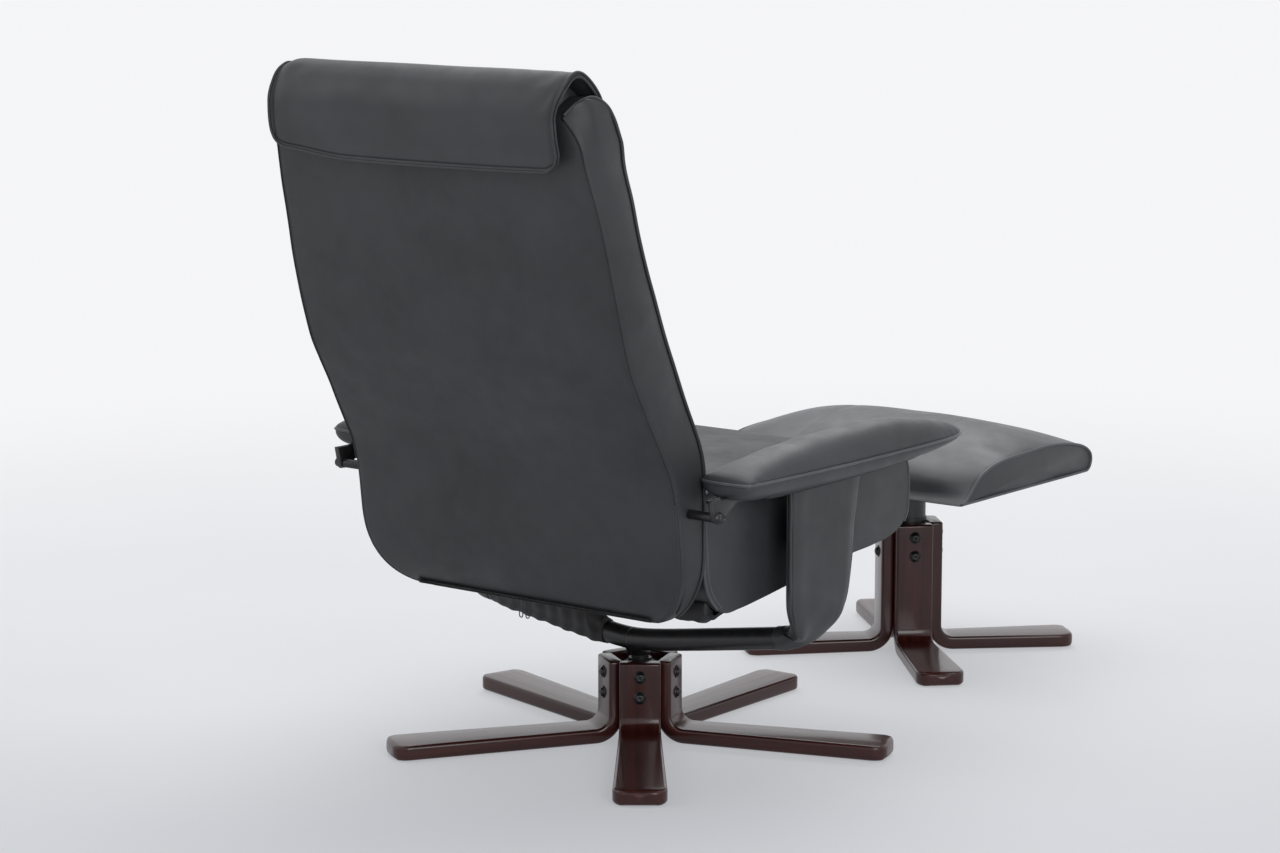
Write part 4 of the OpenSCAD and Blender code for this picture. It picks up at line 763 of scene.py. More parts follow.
FLAP_CORDS = [tube(even_loop(rim(grid), 520), radius, 8, closed=True)
              for grid, radius in ((flap_out, FLAP_CORD_OUT), (flap_in, FLAP_CORD_IN))]
piece("head_flap_piping", FLAP_CORDS, "back", WELT_SHADED)

# Headrest under the flap: a closed outline carried across, fuller in the middle than at the ends

BOLSTER_W = 237.0
BOLSTER = [(361, 778), (382, 868), (390.5, 925), (398.3, 942.6), (408.5, 962.4), (416.7, 978.5),
           (431.8, 987.1), (450, 990.6), (464.2, 985.6), (476.4, 976.6), (484, 974), (491.5, 976),
           (491, 986), (486.5, 996), (481, 1003), (474, 1008.2), (466.5, 1010.6), (458.5, 1009.3),
           (449.5, 1004.2), (439.5, 996.6), (432, 989.2)]
# Its front: each point at full depth, at the back's face, and the share of the depth kept at the ends
BOLSTER_FRONT = [((406, 978), (414, 979), 0.6), ((368, 950), (404, 955), 0.3), ((338, 920), (392, 928), 0.2),
                 ((318, 885), (384, 890), 0.15), ((307, 850), (378, 855), 0.12),
                 ((304, 822), (371, 825), 0.1), ((310, 798), (366, 800), 0.1), ((330, 780), (363, 783), 0.1)]


def headrest():
    """Each ring is the outline with its front pulled from the back's face to full depth as 1 - |u|^3."""
    full, flat, keep = (np.array(part, float) for part in zip(*BOLSTER_FRONT))
    rings = []
    for u in crowded(65, 0.42):
        depth = keep + (1 - keep) * (1 - abs(u) ** 3)
        ring = closed_ring(np.vstack([BOLSTER, flat + (full - flat) * column(depth)]), 120)
        end = np.clip((abs(u) - 0.84) / 0.16, 0, 1)
        middle = ring.mean(0)
        rings.append(set_at(u * BOLSTER_W, middle + (ring - middle) * (1 - 0.10 * end**2.5)))
    return loft(np.array(rings))


piece("head_bolster_leather", [headrest()], "back", HIDE, replaces=("head_bolster",))

# Cushion down the front of the back, with a channel across it

CROWN = [(0.308, 0.22), (0.318, 0.46), (0.333, 0.66), (0.355, 0.82), (0.39, 0.94), (0.43, 0.99), (0.47, 1),
         (0.51, 0.985), (0.535, 0.95), (0.55, 0.83), (0.565, 0.94), (0.6, 0.96), (0.64, 0.95), (0.675, 0.93),
         (0.705, 0.86), (0.728, 0.74), (0.7395, 0.6)]
PAD_FROM, PAD_TO, CHANNEL = 0.308, 0.7395, (0.535, 0.565)
PAD_DEPTH, PAD_INSET, PAD_SUNK = 86, 5.6, 11.5


def back_pad():
    """Front face at depth 86 mm times the crown along the height times 1 - |u|^3.2 across, over a flat rear
    face. The height is a share of 720 mm above the lower edge."""
    s = column(np.unique(np.r_[np.linspace(PAD_FROM, 0.34, 10), np.linspace(0.34, CHANNEL[0], 44),
                               np.linspace(*CHANNEL, 15), np.linspace(CHANNEL[1], 0.72, 40),
                               np.linspace(0.72, PAD_TO, 8)]))
    u = crowded(73, 0.4)
    z = LOW_EDGE + BACK_RISE * s
    crown = along(s, *zip(*CROWN)) - 0.055 * bell(s, 0.55, 0.004)
    w = half_width(z) - PAD_INSET
    ripple = np.sin(u * 17.0) * (bell(s, 0.54, 0.02) + bell(s, 0.56, 0.02)) * (1 - u**2)
    face = xyz(u * w, front_of(z) - PAD_DEPTH * crown * (1 - np.abs(u) ** 3.2) + ripple, z)
    behind = xyz(np.linspace(1, -1, 9) * w, front_of(z) + PAD_SUNK, z)
    return loft(np.concatenate([face, behind], axis=1))


piece("back_cushion_leather", [back_pad()], "back", HIDE, replaces=("back_cushion",))

# Seat: leather box from its side outline, crowned cushion, piping and the sagging cloth under its rear

SEAT = [(120, 432), (0, 436), (-100, 438), (-190, 437), (-225, 433), (-250, 428), (-264, 420), (-274, 408),
        (-278, 390), (-278, 352), (-276, 334), (-268, 322), (-254, 312), (-233, 305), (-186, 298),
        (-133, 294), (-50, 283), (29, 274), (103, 265), (150, 260.5), (177, 260), (195, 270), (210, 285),
        (219, 299), (224, 315), (228, 350), (231, 397), (231, 425)]
SEAT_W, SEAT_ROUND = 290.0, 4
SEAT_MIDDLE = [-20.0, 350.0]


def seat_box():
    """The side outline carried across, drawn in over the last few millimetres at each side."""
    flat = SEAT_W - SEAT_ROUND
    x = np.unique(np.r_[0, np.linspace(0, 1, 20) ** 0.6 * flat,
                        flat + SEAT_ROUND * np.sin(np.linspace(0, np.pi / 2, 6))])
    x = column(np.r_[-x[:0:-1], x])
    ring = closed_ring(SEAT, 200)
    out = unit(ring - SEAT_MIDDLE)
    belly = 1.2 * np.sin(ring[:, 0] / 37.0) * (1 - (x / SEAT_W) ** 2)
    move = belly - SEAT_ROUND * rounding(SEAT_W - np.abs(x), SEAT_ROUND)
    return loft(xyz(x, ring[:, 0] + out[:, 0] * move, ring[:, 1] + out[:, 1] * move))


SEAT_TOP = [(225, 420), (223, 356), (0, 356), (-266, 356), (-270, 374), (-270, 391), (-266, 405),
            (-256, 417.5), (-241, 426.5), (-220, 433), (-188, 438), (-100, 440), (0, 438), (120, 434),
            (200, 430), (219, 427)]
LIFT = [(-265, 0.0), (-255, 0.1), (-189, 0.3), (-102, 0.7), (0, 1), (127, 0.9), (224, 0.6)]
SEAT_PAD_W, SEAT_CROWN = 284.5, 12


def seat_pad():
    """Outline rings across the seat: the top lifts 12 mm times 1 - |u|^2.4, turns down 6.5 mm at its sides,
    is creased along them and hollowed 2 mm in the middle."""
    u = column(crowded(75, 0.44))
    y, z = closed_ring(SEAT_TOP, 190).T
    gap = (1 - np.abs(u)) * SEAT_PAD_W
    top = smooth(z, 405, 430)
    up = SEAT_CROWN * along(y, *zip(*LIFT)) * smooth(z, 400, 428) * (1 - np.abs(u) ** 2.4)
    fall = 6.5 * smooth(z, 395, 425) * np.exp(-(gap / 9.0) ** 1.4)
    crease = 0.65 * np.sin(y / 17.0 + 1) * np.exp(-gap / 26.0) * top
    hollow = 2.0 * bell(y, -15, 95) * bell(u, 0, 0.45) * top
    return loft(xyz(u * SEAT_PAD_W, y, z + up - fall + crease - hollow))


piece("seat_cover_leather", [seat_box()], "seat", HIDE, replaces=("seat_cover",))
# The cushion takes the seat hide with its painted shade.
piece("seat_cushion_leather", [seat_pad()], "seat", HIDE_SEAT_SHADED, replaces=("seat_cushion",))

SEAT_EDGE = [(222, 429), (120, 433.2), (0, 437.2), (-100, 439), (-190, 437.8), (-225, 434), (-250, 428.6),
             (-265, 420.4), (-275, 408), (-278.6, 390), (-278.6, 352), (-276.6, 334), (-268.6, 321.6)]
SEAT_REAR = [(231.6, 424), (231.8, 397), (228.8, 350), (225, 315), (219.8, 298.5), (210.6, 284.2),
             (196, 269.4)]
SEAT_CORDS = 1.9, 2.7, 2.1


def seat_cords():
    """Cords on the box's long top and front edges and down its rear edges, a hair proud of the corners."""
    edge = set_at(SEAT_W - 1.2, hermite(SEAT_EDGE, even(150)))
    rear = set_at(SEAT_W - 1.4, hermite(SEAT_REAR, even(70)))
    twin = rear + [0.4, -7.5, 1.0]
    return [tube(p, radius, 8) for path, radius in zip((edge, rear, twin), SEAT_CORDS) for p in both(path)]


piece("seat_piping", seat_cords(), "seat", WELT_PAINTED_HIGHLIGHT)

BAG = [(150, 262), (160, 254.5), (174, 247.4), (188, 245), (199, 247.2), (206, 256), (208, 268), (206, 279),
       (196, 268.6), (178, 259.4), (163, 260.6)]
BAG_W = 276.0


def seat_bag():
    """Closed outline carried across, gathered into shallow folds and drawn up at both ends."""
    u = column(np.linspace(-1, 1, 141))
    y, z = closed_ring(BAG, 64).T
    low = smooth(z, 262, 248)
    fold = 1.3 * np.sin(u * 46 + 2 * np.sin(u * 9)) + 0.8 * np.sin(u * 83 + 1)
    drawn = 7.0 * smooth(np.abs(u), 0.93, 1.0)
    wrinkle = 0.6 * np.sin(y / 4 + u * 30)
    return loft(xyz(u * BAG_W, y + low * fold * 0.5, z + low * (fold * 0.8 + drawn) + wrinkle))


piece("seat_bag_cloth", [seat_bag()], "seat", UNDER_CLOTH, replaces=("seat_bag",))

# Arm pads: stations along the arm give half width, offset, underside, piping line and crest

ARM = np.array([(253, 0.28, 0.0, 446, 460, 464), (251, 0.38, 0.0, 442, 460, 467),
                (247, 0.455, 0.0, 439, 460.2, 470.5), (240, 0.485, 0.0, 436.5, 460.4, 474),
                (228, 0.498, 0.0, 434, 460.5, 477.6), (205, 0.50, 0.0, 431.5, 460.3, 482.6),
                (176, 0.50, 0.0, 430.5, 460, 487.2), (120, 0.50, 0.0, 429.3, 459, 494),
                (61, 0.50, 0.0, 429.3, 458.5, 497), (0, 0.50, 0.0, 430, 458, 499.5),
                (-75, 0.50, 0.0, 431, 458, 501), (-130, 0.495, 0.0, 433, 458, 499),
                (-176, 0.485, 0.0, 435.5, 458, 495), (-215, 0.465, 0.005, 438.5, 458, 489.6),
                (-248, 0.43, 0.01, 442, 458, 483.6), (-275, 0.375, 0.015, 445.5, 458, 477.8),
                (-296, 0.29, 0.02, 449.5, 458, 471.2), (-309, 0.19, 0.03, 453, 458, 465.6),
                (-315, 0.10, 0.035, 455, 457.9, 461.8)])
ARM_X, ARM_W = 340.0, 88.0
PAD_CORD = 2.3
ARM_REAR, ARM_FRONT = 252.8, -315.2
ARM_STATIONS = ARM_REAR - (crowded(150, 0.44) + 1) / 2 * (ARM_REAR - ARM_FRONT)
PLATE_Z = 429.1


def arm_rows(y):
    return [along(-y, -ARM[:, 0], ARM[:, k]) for k in range(1, 6)]


def arm_pad():
    """Each section is a dome on the piping line over a fuller, flatter underside; the ends pinch to the line.
    Gathers are a cosine round the rim whose height dies away from the piping."""
    y = column(ARM_STATIONS)
    half, shift, low, mid, top = arm_rows(y)
    half, shift = half * ARM_W, shift * ARM_W
    cos, sin = np.cos(circle(112)), np.sin(circle(112))
    upper = sin > 0
    rise = np.abs(sin)
    x = np.sign(cos) * np.abs(cos) ** np.where(upper, 0.92, 0.83) * half
    z = np.where(upper, mid + (top - mid) * rise**0.96, mid - (mid - low) * rise**0.83)
    tip = smooth(-y, 205, 300)
    tail = smooth(y, 195, 245)
    gather = bell(rise, 0.16, 0.26) * upper * (2.0 * tip * np.sin(y / 3.3 + 0.9 * np.sin(y / 13))
                                               + 0.9 * tail * np.sin(y / 3.4))
    roll = upper * rise**2 * (0.9 * np.sin(y / 27.0 + cos * 1.3) + 0.6 * np.sin(y / 11.5 + 2))
    dip = 1.5 * bell(sin, 0, 0.10)
    x = x - np.sign(cos) * dip * np.minimum(1, half / 20)
    return loft(xyz(ARM_X + shift + x, y, z + gather + roll * (1 - tip) * (1 - tail) * 0.8))


def arm_rim():
    """The piping line round the pad."""
    half, shift, _, mid, _ = arm_rows(ARM_STATIONS)
    outer, inner = (np.column_stack([ARM_X + (shift + side * half) * ARM_W - side * 0.6, ARM_STATIONS, mid])
                    for side in (1, -1))
    tip = hermite([outer[-1], (ARM_X + 3.2, -318.2, 457.9), inner[-1]], even(12))
    tail = hermite([inner[0], (ARM_X, 254.6, 460.0), outer[0]], even(20))
    return even_loop(np.vstack([outer, tip[1:-1], inner[::-1], tail[1:-1]]), 420)


def arm_board():
    """Board under the pad with bevelled lower edges, its ends bent up to stay within the leather."""
    y = column(np.linspace(-183.5, 183.5, 60))
    low = np.maximum(PLATE_Z, arm_rows(y)[2] - 0.6)
    x, z = np.array([(-20, 0), (20, 0), (24.5, 2.2), (27.3, 6), (27.3, 12), (-27.3, 12), (-27.3, 6),
                     (-24.5, 2.2)]).T
    return loft(xyz(ARM_X + x, y, low + z))


def arm_plate():
    """Bar under the board, and the gusset that drops from its rear end to the pivot."""
    section = [(310.3, PLATE_Z), (338.3, PLATE_Z), (338.3, PLATE_Z + 4), (310.3, PLATE_Z + 4)]
    bar = np.array([[(x, y, z) for x, z in section] for y in (-62, -61, 250, 251)], float)
    side = [(226, 441), (229, 433), (261, 412.5), (266, 409.6), (276, 409.6), (280, 413), (286, 441)]
    gusset = np.array([set_at(x, side) for x in (338.0, 338.4, 345.6, 346.0)])
    middle = gusset.mean(1, keepdims=True)
    gusset[[0, -1]] = middle[[0, -1]] + (gusset[[0, -1]] - middle[[0, -1]]) * [1, 0.97, 0.94]
    return [loft(bar), loft(gusset)]


for side, mirror in SIDES:
    piece(f"arm_plate_{side}_steel", arm_plate(), "carrier", BLACK_STEEL,
          replaces=(f"arm_plate_{side}",), mirror=mirror)
    piece(f"arm_board_{side}_ply", [arm_board()], "carrier", UNDER_CLOTH,
          replaces=(f"arm_board_{side}",), mirror=mirror)
    piece(f"arm_pad_{side}_leather", [arm_pad()], "carrier", HIDE,
          replaces=(f"arm_pad_{side}",), mirror=mirror)
    piece(f"arm_pad_{side}_piping", [tube(arm_rim(), PAD_CORD, 8, closed=True)], "carrier",
          WELT_PAINTED_HIGHLIGHT, mirror=mirror)

# Leather sleeves: a section of 16 points carried down the upright, round the bend and inwards

UPRIGHT_X, TUBE_Y, TUBE_MID_Z, BEND, RISE = 324.3, 19.0, 150.0, 60.0, math.radians(9)
SWEEP = math.pi / 2 - RISE
RUN_X = UPRIGHT_X - BEND * math.tan(SWEEP / 2) * math.cos(RISE)
RUN_Z = TUBE_MID_Z + RUN_X * math.tan(RISE)
BEND_X, BEND_Z = RUN_X - BEND * math.sin(RISE), RUN_Z + BEND * math.cos(RISE)
SLEEVE = np.array([(0.85, 1), (1, 0.86), (1, 0.45), (1, 0), (1, -0.45), (0.95, -0.8), (0.7, -0.97), (0.3, -1),
                   (-0.3, -0.93), (-0.75, -0.72), (-1, -0.4), (-1, 0), (-1, 0.33), (-0.55, 0.55), (0, 0.78),
                   (0.55, 0.96)])
# Run along the tube from the arm plate, half thickness, reach rearwards, reach forwards, roundness
SLEEVE_ROWS = np.array([(0, 21, 80.1, 98, 0), (64, 21, 80.1, 86.4, 0), (113, 21, 80.1, 78.8, 0),
                        (145, 21, 80.1, 73.2, 0), (166, 21, 79.6, 68.6, 0), (177, 21, 77.5, 64.5, 0),
                        (187, 21, 72, 59, 0), (200, 21, 60, 51, 0.03), (211, 20.8, 47, 44, 0.12),
                        (222, 20, 36, 36.5, 0.3), (233, 18.8, 27, 27.5, 0.55), (244, 18, 20.6, 21, 0.82),
                        (256, 17.4, 18.2, 18.4, 1), (275, 17.1, 17.4, 17.4, 1), (300, 16.9, 17.0, 17.0, 1)])
SLEEVE_END = 268
SLEEVE_CORDS = 1.9, 1.6, 1.5


def sleeve_frames(run):
    """Point on the tube's line and its outward direction, for runs from the arm plate."""
    up = PLATE_Z - BEND_Z
    arc = BEND * SWEEP
    a = -np.clip((run - up) / arc, 0, 1) * SWEEP
    straight = np.clip(run - up - arc, 0, None)
    x = BEND_X + BEND * np.cos(a) - straight * math.cos(RISE)
    z = np.where(run < up, PLATE_Z - run, BEND_Z + BEND * np.sin(a)) - straight * math.sin(RISE)
    return x, z, np.cos(a), np.sin(a)


def sleeve_ring_points(run):
    """Section at each run: 16 points that change from the flat sleeve's to a circle round the tube."""
    thick, rear, fore, round_part = (column(along(run, SLEEVE_ROWS[:, 0], SLEEVE_ROWS[:, k]))
                                     for k in range(1, 5))
    twist = np.radians(67.5) * column(smooth(run, 190, 250))
    turn = np.radians((3 - np.arange(16)) * 22.5) + twist
    radius = column(along(run, [0, 232, 256, 300], [20.4, 19.6, 17.8, 16.95]))
    t, y = SLEEVE.T
    reach = np.where(y > 0, rear, fore)
    return (t * thick * (1 - round_part) + radius * np.cos(turn) * round_part,
            y * reach * (1 - round_part) + radius * np.sin(turn) * round_part)


def sleeve_place(run, t, y):
    x, z, out_x, out_z = map(column, sleeve_frames(run))
    return xyz(x + t * out_x, TUBE_Y + y, z + t * out_z)


def arm_sleeve():
    """Rings of 96 points; slack folds are sines along the sleeve, strongest where it turns inwards."""
    run = np.linspace(1.0, SLEEVE_END, 140)
    rings = np.stack(sleeve_ring_points(run), axis=-1)
    t, y = np.moveaxis([closed_ring(ring, 96) for ring in rings], -1, 0)
    run_at = column(run)
    face = smooth(t, 4, 18)
    fold = face * (0.8 * np.sin(run_at / 8.5 + y / 21.0) + 0.5 * np.sin(run_at / 17.0 - y / 12.0))
    fold = fold * (1.5 * bell(run_at, 202, 34) + 0.4) * (1 - smooth(run_at, 232, 270))
    belly = 1.4 * face * np.sin(np.pi * np.clip((y + 85) / 165, 0, 1)) * (1 - smooth(run_at, 190, 240))
    return loft(sleeve_place(run, t + fold * 0.8 + belly, y))


def sleeve_cords():
    """Cords on the thin rear edge and on the front edge of the sleeve."""
    run = np.linspace(2.0, 246, 120)
    t, y = sleeve_ring_points(run)
    lines = [(t[:, :2].mean(1) + 0.3, y[:, :2].mean(1) + 1.2), (t[:, 15] * 0.8, y[:, 15] - 2.5),
             (t[:, 6], y[:, 6] - 0.4)]
    return [tube(sleeve_place(run, column(out), column(back))[:, 0], radius, 8)
            for (out, back), radius in zip(lines, SLEEVE_CORDS)]


for side, mirror in SIDES:
    piece(f"arm_sleeve_{side}_leather", [arm_sleeve()], "carrier", HIDE,
          replaces=(f"arm_sleeve_{side}",), mirror=mirror)
    piece(f"arm_sleeve_{side}_piping", sleeve_cords(), "carrier", WELT_SHADED, mirror=mirror)

# Footstool pad: its end outline carried across, lifted towards the middle, with two seams over the top

PAD = np.array([(-489, 304), (-500, 310), (-519, 326), (-539, 342), (-565, 352), (-591, 358), (-620, 361),
                (-654, 363), (-700, 364.6), (-741, 365), (-775, 363), (-808, 359), (-832, 354.5),
                (-853, 349), (-870, 341), (-880, 331), (-881, 321), (-877, 312), (-868, 306), (-855, 304),
                (-760, 304), (-672, 304), (-580, 304)], float) + [722.0, 0]
PAD_LIFT = [(-0.5, 0.35), (-0.43, 0.6), (-0.29, 0.68), (-0.19, 0.8), (-0.09, 0.96), (0, 1), (0.09, 0.97),
            (0.24, 0.75), (0.37, 0.45), (0.5, 0.15)]
PAD_W, PAD_D, PAD_MID, PAD_LOW = 250.0, 393.0, 36.5, 304.0
PAD_CENTRE = [PAD_MID, 328.0]
PAD_SWELL = 29.0
SEAM_X, SEAM_DEPTH, SEAM_WIDTH = 112.0, 1.7, 3.4


def pad_shape(x, y, z):
    """Height of the pad: its end outline, raised by 0.58 (1 - |u|^3.2) of itself times the lift."""
    lift = along((y - PAD_MID) / PAD_D, *zip(*PAD_LIFT))
    return PAD_LOW + (z - PAD_LOW) * (1 + 0.58 * (1 - (np.abs(x) / PAD_W) ** 3.2) * lift)


def stool_pad():
    """The outline is drawn in at the ends and at both seams and puffed between them, and the face towards the
    chair swells by 29 mm."""
    x = PAD_W * column(crowded(101, 0.42))
    ring = closed_ring(PAD, 200)
    y, z = ring.T
    out_y, out_z = unit(ring - PAD_CENTRE).T
    high = smooth(z, 306, 320)
    reach = np.abs(x)
    gap = PAD_W - reach
    end = 2.4 * rounding(gap, 5)
    seam = SEAM_DEPTH * bell(reach, SEAM_X, SEAM_WIDTH) * high
    puff = 0.6 * np.sin(np.pi * np.clip(reach / SEAM_X, 0, 1)) * high
    crease = 0.45 * np.sin(y / 9.0 + np.sin(x / 30) * 2) * np.exp(-gap / 18.0) * high * smooth(gap, 0, 6)
    move = puff + crease - end - seam
    swell = PAD_SWELL * bell(z, 337, 21) * smooth(y, 112, 190) * (1 - (reach / PAD_W) ** 6)
    return loft(xyz(x, y + out_y * move + swell, np.maximum(pad_shape(x, y, z) + out_z * move, PAD_LOW)))


def stool_cords():
    """A cord round each end of the pad."""
    ring = closed_ring(PAD, 240)
    y, z = (ring - unit(ring - PAD_CENTRE) * 1.4).T
    path = np.column_stack([y, np.maximum(pad_shape(PAD_W, y, z), PAD_LOW + 2.2)])
    return [tube(set_at(side * (PAD_W - 0.6), path), PAD_CORD, 8, closed=True) for side in (-1, 1)]


piece("ottoman_pad_leather", [stool_pad()], "ottoman", HIDE_STOOL, at=STOOL_AT,
      replaces=("ottoman_pad",))
piece("ottoman_pad_piping", stool_cords(), "ottoman", WELT_PAINTED_HIGHLIGHT, at=STOOL_AT)

# Steel under the seat: one tube a side from the middle up to the arm, wrapped in cloth on the person's left

TUBE_R = 16.5
CLOTH_FROM, CLOTH_TO = 44, 262


def tube_line(n):
    """Middle line of a tube: flat at x = 0 by x + 28 exp(-x / 28), 9 degrees, the bend, then upright."""
    x = np.linspace(0.2, RUN_X, n)
    low = np.column_stack([x, TUBE_MID_Z + math.tan(RISE) * (x + 28.0 * np.exp(-x / 28.0))])
    a = np.linspace(0, SWEEP, n // 2)[1:] - SWEEP
    bend = np.column_stack([BEND_X + BEND * np.cos(a), BEND_Z + BEND * np.sin(a)])
    up = np.linspace((UPRIGHT_X, BEND_Z), (UPRIGHT_X, PLATE_Z), 12)[1:]
    return np.insert(np.vstack([low, bend, up]), 1, TUBE_Y, axis=1)


for side, mirror in SIDES:
    piece(f"carrier_tube_{side}_enamel", [tube(tube_line(90), TUBE_R, 40)], "carrier",
          BLACK_TUBE, replaces=(f"carrier_tube_{side}",), mirror=mirror)


def sling_cloth():
    """Cloth gathered round the left tube: a ring of its size, its top drawn up and rearwards to a fold."""
    x = column(np.linspace(CLOTH_FROM, CLOTH_TO, 110))
    line = tube_line(200)
    height = np.interp(x, line[:, 0], line[:, 2])
    a = circle(72)
    ease = smooth(x, CLOTH_FROM, 62) * (1 - smooth(x, 235, CLOTH_TO))
    lobe = bell(np.arctan2(np.sin(a - 0.95), np.cos(a - 0.95)), 0, 0.62)
    fold = np.sin(x / 4.1 + 3 * np.sin(a)) + 0.7 * np.sin(x / 9.0 + 5 * a)
    r = TUBE_R + 1.6 + (2.0 + 0.8 * fold) * ease + lobe * (6 + 26 * ease + 1.6 * fold)
    return loft(xyz(x, TUBE_Y + r * np.cos(a), height + r * np.sin(a)))


piece("tube_sling_cloth", [sling_cloth()], "carrier", UNDER_CLOTH)


def turned_part(profile, at, way):
    """Surface of revolution about a level axis: profile of (distance along it, radius) from end to end."""
    a = column(circle(28))
    way = np.asarray(way, float)
    across = np.array([-way[1], way[0], 0.0])
    up = np.array([0.0, 0.0, 1.0])
    return loft(np.array([at + way * run + r * (np.cos(a) * across + np.sin(a) * up) for run, r in profile]))


# Distance out from the upright's face and radius: shank, washer, button head and its socket
BOLT = [(-30, 4.0), (-0.6, 4.0), (-0.5, 9.6), (0.6, 9.6), (1.5, 9.0), (1.5, 6.6), (1.7, 6.9), (3.2, 6.6),
        (4.7, 5.4), (5.5, 4.2), (5.5, 2.6), (5.2, 2.3), (3.2, 2.2)]
# Distance out from the chair's middle and radius: boss inside a gusset, then washer and rimmed cap outside it
BOSS = [(293.5, 5.3), (293.5, 6.3), (294.2, 6.7), (337.0, 6.7), (339.5, 7.6)]
CAP = [(345.0, 8.6), (346.6, 8.6), (347.0, 8.2), (347.0, 6.9), (352.6, 6.8), (353.8, 6.0), (353.8, 4.6),
       (352.2, 4.2), (352.2, 0.8)]
PIVOT = (0.0, 271.3, 416.1)
# Cast foot of the tubes: height, radius, place rearwards
SADDLE = [(127.4, 15.6, 1.0), (128.6, 17.0, 1.4), (133, 17.2, 4), (138, 16.6, 9), (146, 15.0, 16),
          (150, 13.5, 19)]


def bolt_parts(star):
    """Bolts in each upright at each level."""
    count, first_angle, radius, _, _, levels = star
    profile = [(radius + run, r) for run, r in BOLT]
    parts = []
    for k in range(count):
        a = math.radians(first_angle + k * 360 / count)
        parts += [turned_part(profile, (0.0, 0.0, z), (math.cos(a), math.sin(a), 0.0)) for z in levels]
    return parts


def saddle():
    """Cast seat between the spindle and the tubes: a round foot that leans rearwards under the tubes."""
    z, r, y = (column(part) for part in zip(*SADDLE))
    return loft(xyz(r * np.cos(circle(40)), y + r * np.sin(circle(40)), z))


piece("leg_bolts_turned", bolt_parts(CHAIR_STAR), "base", BLACKENED,
      replaces=("leg_bolts",))
piece("ottoman_bolts_turned", bolt_parts(STOOL_STAR), "ottoman", BLACKENED,
      at=STOOL_AT, replaces=("ottoman_bolts",))
piece("rod_hardware_turned", [turned_part(part, PIVOT, (sign, 0.0, 0.0)) for sign in (-1, 1)
                              for part in (BOSS, CAP)],
      "carrier", BLACKENED, replaces=("rod_hardware",))
piece("tube_saddle_cast", [saddle()], "carrier", BLACK_TUBE, replaces=("tube_saddle",))

# Camera, light and floor

def look_along(obj, forward):
    obj.rotation_mode = "QUATERNION"
    obj.rotation_quaternion = Vector(forward).to_track_quat("-Z", "Y")


camera_data = bpy.data.cameras.new("photo_camera")
camera = bpy.data.objects.new("photo_camera", camera_data)
COLLECTION.objects.link(camera)
camera_data.sensor_fit = "HORIZONTAL"
camera_data.sensor_width = 36.0
camera_data.lens = 94.92
camera_data.clip_end = 200.0
camera.location = (-3.006, 4.0752, 1.3027)
# Slope of the camera's view below the level, and its heading over the floor
PITCH = math.radians(9.67)
HEADING = (0.6146, -0.7889)
look_along(camera, (HEADING[0] * math.cos(PITCH), HEADING[1] * math.cos(PITCH), -math.sin(PITCH)))
bpy.context.scene.camera = camera

# Soft boxes: name, place, point that it faces, size across and up, watts
LAMPS = [("overhead_box", (0.4, -0.2, 3.4), (0, 0.1, 0.3), (3.2, 3.2), 54),
         ("right_box", (-3.5, 2.4, 1.5), (-0.1, 0, 0.45), (2.0, 2.0), 58),
         ("left_box", (2.6, 3.0, 2.2), (0, 0.3, 0.5), (2.2, 2.2), 16),
         ("front_box", (1.7, -3.0, 3.1), (0, -0.5, 0.4), (2.4, 1.2), 30)]
for name, place, target, size, watts in LAMPS:
    light = bpy.data.lights.new(name, "AREA")
    light.shape = "RECTANGLE"
    light.size, light.size_y = size
    light.energy = watts
    box = bpy.data.objects.new(name, light)
    COLLECTION.objects.link(box)
    box.location = place
    look_along(box, np.array(target) - np.array(place))


def seen_share(tree):
    """1 for rays that the camera sees, straight or reflected, and 0 for those that only light the object."""
    path = add(tree, "ShaderNodeLightPath").outputs
    share = path["Is Camera Ray"]
    for ray in ("Is Glossy Ray", "Is Transmission Ray"):
        larger = add(tree, "ShaderNodeMath", operation="MAXIMUM")
        tree.links.new(share, larger.inputs[0])
        tree.links.new(path[ray], larger.inputs[1])
        share = larger.outputs[0]
    return share


def blended(tree, share, first, second):
    """First shader where the share is 0, second where it is 1."""
    mix = add(tree, "ShaderNodeMixShader", Fac=share)
    tree.links.new(first.outputs[0], mix.inputs[1])
    tree.links.new(second.outputs[0], mix.inputs[2])
    return mix.outputs[0]


def backdrop_world():
    """Soft even light round the object, and the pale studio wall for what the camera and reflections see."""
    world = bpy.data.worlds.new("studio")
    bpy.context.scene.world = world
    world.use_nodes = True
    tree = world.node_tree
    tree.nodes.clear()
    fill = add(tree, "ShaderNodeBackground", Color=(0.93, 0.95, 1.0, 1), Strength=0.27)
    wall = add(tree, "ShaderNodeBackground", Color=(0.90, 0.91, 0.93, 1), Strength=1.0)
    add(tree, "ShaderNodeOutputWorld", Surface=blended(tree, seen_share(tree), fill, wall))


backdrop_world()

SPAN = 60.0
floor_mesh = bpy.data.meshes.new("studio_floor")
FLOOR_CORNERS = [(-SPAN, -SPAN, 0), (SPAN, -SPAN, 0), (SPAN, SPAN, 0), (-SPAN, SPAN, 0)]
floor_mesh.from_pydata(FLOOR_CORNERS, [], [(0, 1, 2, 3)])
floor = bpy.data.objects.new("studio_floor", floor_mesh)
COLLECTION.objects.link(floor)

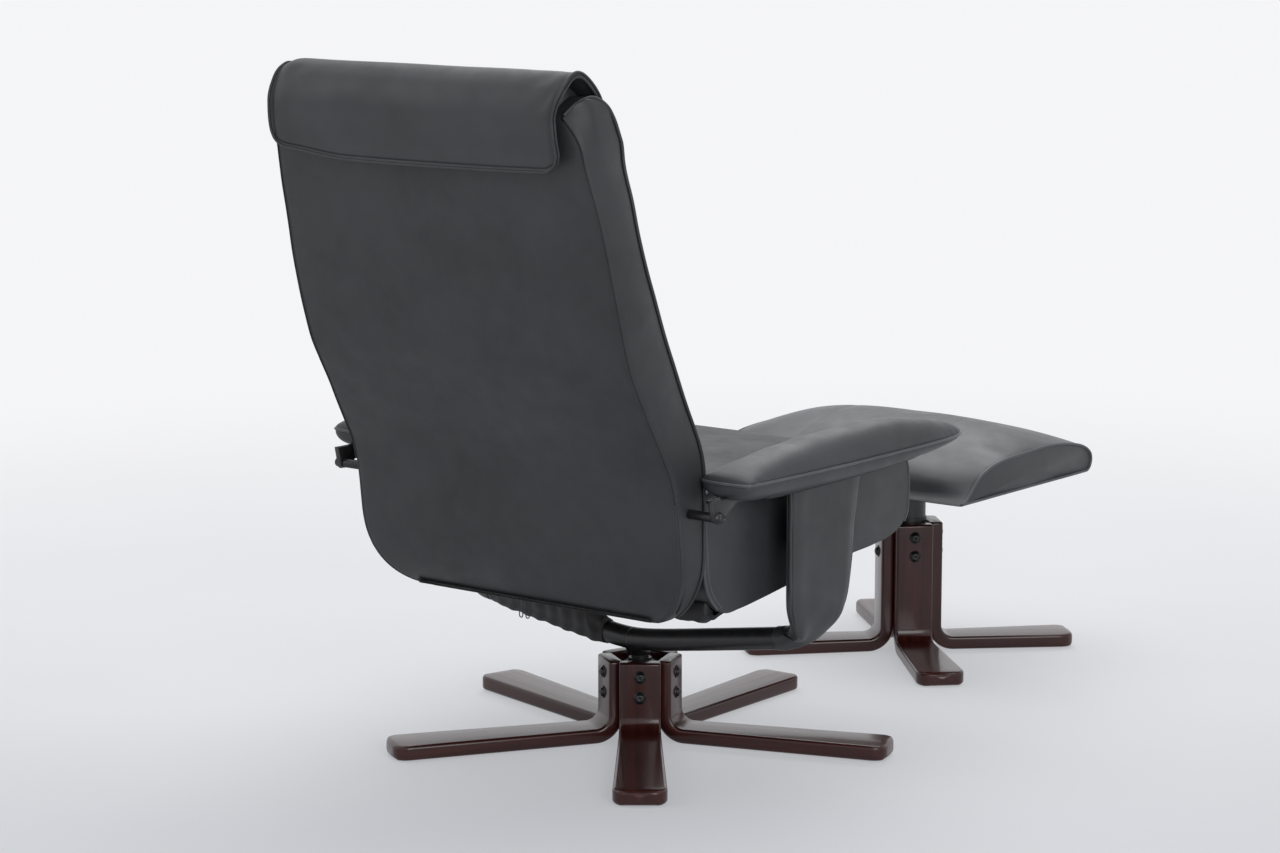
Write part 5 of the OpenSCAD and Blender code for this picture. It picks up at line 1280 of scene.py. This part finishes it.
# Painted shade on the floor: the colours seen on it by depth into the picture, darkest just before the
# object, from this far before the object to as far behind it
FLOOR_DEPTH = 8.5
FLOOR_SHADE_TONES = [(0.459, (0.62, 0.64, 0.68)), (0.5, (0.79, 0.80, 0.83)), (0.547, (0.87, 0.875, 0.90)),
               (0.647, (0.90, 0.90, 0.92)), (1.0, (0.925, 0.925, 0.94))]


def floor_finish():
    """Pale matte floor. What is seen of it blends into the studio's pale sweep with distance from the object,
    and the sweep carries a painted shade that deepens a little on the near side, close to the object."""
    mat, tree, bsdf = shader("pale studio floor")
    at = placed(tree)
    faint = ramp(tree, noise(tree, at, 1.5, 2.0), [(0.3, (0.88, 0.89, 0.91)), (0.7, (0.92, 0.93, 0.95))])
    feed(tree, bsdf, {"Base Color": faint, "Roughness": 0.75, "Specular IOR Level": 0.2})
    far = add(tree, "ShaderNodeVectorMath", operation="LENGTH", Vector=at).outputs["Value"]
    depth = add(tree, "ShaderNodeVectorMath", operation="DOT_PRODUCT", Vector=at)
    depth.inputs[1].default_value = (*HEADING, 0)
    # Painted shade: the sweep is darker close to the object's near side.
    near = ramp(tree, spread(tree, depth.outputs["Value"], 0.0, 1.0, -FLOOR_DEPTH, FLOOR_DEPTH),
                FLOOR_SHADE_TONES)
    pale = add(tree, "ShaderNodeMix", data_type="RGBA", A=near, B=(0.915, 0.917, 0.933, 1),
               Factor=spread(tree, far, 0.0, 1.0, 1.0, 2.8, "SMOOTHSTEP"))
    sweep = add(tree, "ShaderNodeEmission", Color=pale.outputs["Result"])
    share = add(tree, "ShaderNodeMath", operation="MULTIPLY")
    tree.links.new(spread(tree, far, 0.5, 1.0, 0.9, 3.4, "SMOOTHSTEP"), share.inputs[0])
    tree.links.new(seen_share(tree), share.inputs[1])
    out = [node for node in tree.nodes if node.type == "OUTPUT_MATERIAL"][0]
    feed(tree, out, {"Surface": blended(tree, share.outputs[0], bsdf, sweep)})
    return mat


floor_mesh.materials.append(floor_finish())

bpy.context.scene.view_settings.view_transform = "Standard"
